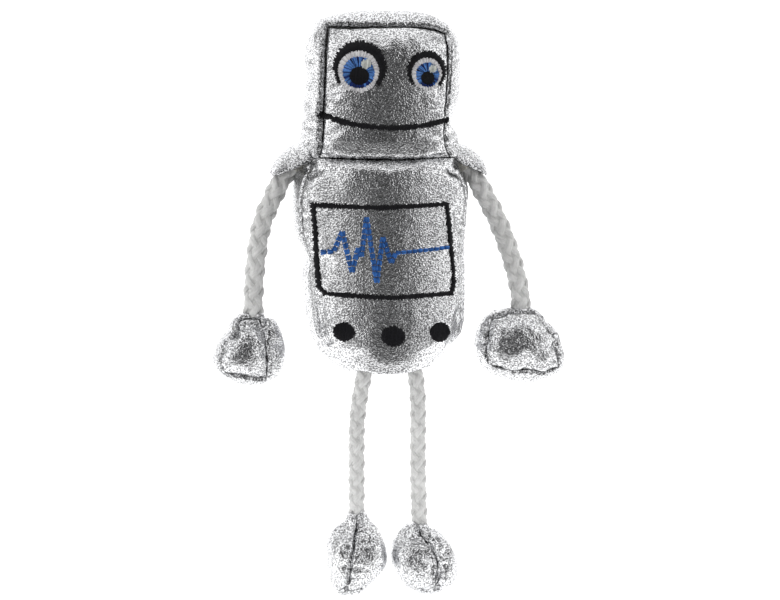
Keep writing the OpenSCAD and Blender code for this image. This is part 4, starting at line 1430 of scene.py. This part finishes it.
class PUPPET_OT_stage(bpy.types.Operator):
    """Sets the floor, which darkens in front of the puppet, the dark card, the soft lights and the camera"""
    bl_idname = "puppet.stage"
    bl_label = "Stage"

    def execute(self, context):
        scene = context.scene
        floor_z = CAD_BOX[0][2] - 0.002
        profile = [(-2.5, 0.0), (0.9, 0.0)] + [(0.9 + 0.5 * math.sin(t), 0.5 - 0.5 * math.cos(t))
                                               for t in np.linspace(0.15, math.pi / 2, 10)] + [(1.4, 3.0)]
        points = [(x, y, floor_z + z) for y, z in profile for x in (-3.0, 3.0)]
        faces = [(2 * n, 2 * n + 1, 2 * n + 3, 2 * n + 2) for n in range(len(profile) - 1)]
        material, tree, bsdf = shader("pale_paper", (0.93, 0.93, 0.93, 1), 0.9)
        here = tree.nodes.new("ShaderNodeTexCoord").outputs["Object"]
        apart = tree.nodes.new("ShaderNodeSeparateXYZ")
        tree.links.new(here, apart.inputs[0])
        y = apart.outputs[1]
        tinted(tree, bsdf, ramp(tree, y, DARK_FROM_Y, PALE_FROM_Y, 0.0, 1.0), (0.12, 0.12, 0.12, 1),
               (0.93, 0.93, 0.93, 1))
        # The pale part of the floor also glows by FLOOR_GLOW: painted light that keeps it white.
        bsdf.inputs["Emission Color"].default_value = (1, 1, 1, 1)
        glow = ramp(tree, y, DARK_FROM_Y, PALE_FROM_Y, 0.0, FLOOR_GLOW)
        tree.links.new(glow, bsdf.inputs["Emission Strength"])
        sweep = mesh_piece("floor_sweep", np.array(points) / MM, faces, material)
        card_material = shader("dark_card", (0.02, 0.02, 0.021, 1), 0.9)[0]
        away = Vector((-math.sin(TURN) * math.cos(LIFT), -math.cos(TURN) * math.cos(LIFT), math.sin(LIFT)))
        middle = AIM + Vector((math.sin(CARD_TURN), -math.cos(CARD_TURN), math.sin(LIFT))) * CARD_AWAY
        across = Vector((math.cos(TURN), math.sin(TURN), 0)) * CARD_HALF_WIDTH
        corners = [middle + across * x + Vector((0, 0, z))
                   for x, z in ((-1, -1.2), (1, -1.2), (1, 1.1), (-1, 1.1))]
        card = mesh_piece("dark_card", [tuple(c / MM) for c in corners], [(0, 1, 2, 3)], card_material, False)
        for name, place, size, power in SOFT_BOXES:
            lamp = bpy.data.lights.new(name, "AREA")
            lamp.shape, lamp.size, lamp.energy = "SQUARE", size, power
            obj = bpy.data.objects.new(name, lamp)
            obj.location = place
            obj.rotation_euler = (AIM - Vector(place)).to_track_quat("-Z", "Y").to_euler()
            scene.collection.objects.link(obj)
        world = bpy.data.worlds.new("studio")
        world.use_nodes = True
        sky = world.node_tree.nodes["Background"]
        sky.inputs["Color"].default_value = (1, 1, 1, 1)
        sky.inputs["Strength"].default_value = WORLD_LIGHT
        scene.world = world
        lens = bpy.data.cameras.new("camera")
        lens.lens, lens.sensor_width = LENS, 36
        camera = bpy.data.objects.new("camera", lens)
        camera.location = AIM + away * CAMERA_AWAY
        camera.rotation_euler = (-away).to_track_quat("-Z", "Y").to_euler()
        scene.collection.objects.link(camera)
        scene.camera = camera
        scene.view_settings.view_transform = "Standard"
        return {"FINISHED"}


class PUPPET_PT_panel(bpy.types.Panel):
    """Lists what the puppet is made of"""
    bl_label = "Robot Finger Puppet"
    bl_idname = "PUPPET_PT_panel"
    bl_space_type = "VIEW_3D"
    bl_region_type = "UI"
    bl_category = "Puppet"

    def draw(self, context):
        layout = self.layout
        for group in (context.scene.puppet_cloth, context.scene.puppet_thread, context.scene.puppet_rope):
            box = layout.box()
            for key in group.bl_rna.properties.keys():
                if key not in ("rna_type", "name"):
                    box.prop(group, key)
        for step in STEPS:
            layout.operator(step.bl_idname)


STEPS = (PUPPET_OT_stage, PUPPET_OT_arms, PUPPET_OT_legs, PUPPET_OT_head, PUPPET_OT_trunk, PUPPET_OT_hem,
         PUPPET_OT_caps, PUPPET_OT_hands, PUPPET_OT_feet, PUPPET_OT_face, PUPPET_OT_chest)
CLASSES = (PUPPET_PG_cloth, PUPPET_PG_thread, PUPPET_PG_rope) + STEPS + (PUPPET_PT_panel,)


def register():
    for cls in CLASSES:
        bpy.utils.register_class(cls)
    bpy.types.Scene.puppet_cloth = PointerProperty(type=PUPPET_PG_cloth)
    bpy.types.Scene.puppet_thread = PointerProperty(type=PUPPET_PG_thread)
    bpy.types.Scene.puppet_rope = PointerProperty(type=PUPPET_PG_rope)


def unregister():
    del bpy.types.Scene.puppet_rope
    del bpy.types.Scene.puppet_thread
    del bpy.types.Scene.puppet_cloth
    for cls in reversed(CLASSES):
        bpy.utils.unregister_class(cls)


def main():
    register()
    for step in STEPS:
        group, name = step.bl_idname.split(".")
        getattr(getattr(bpy.ops, group), name)()


if __name__ == "__main__":
    main()
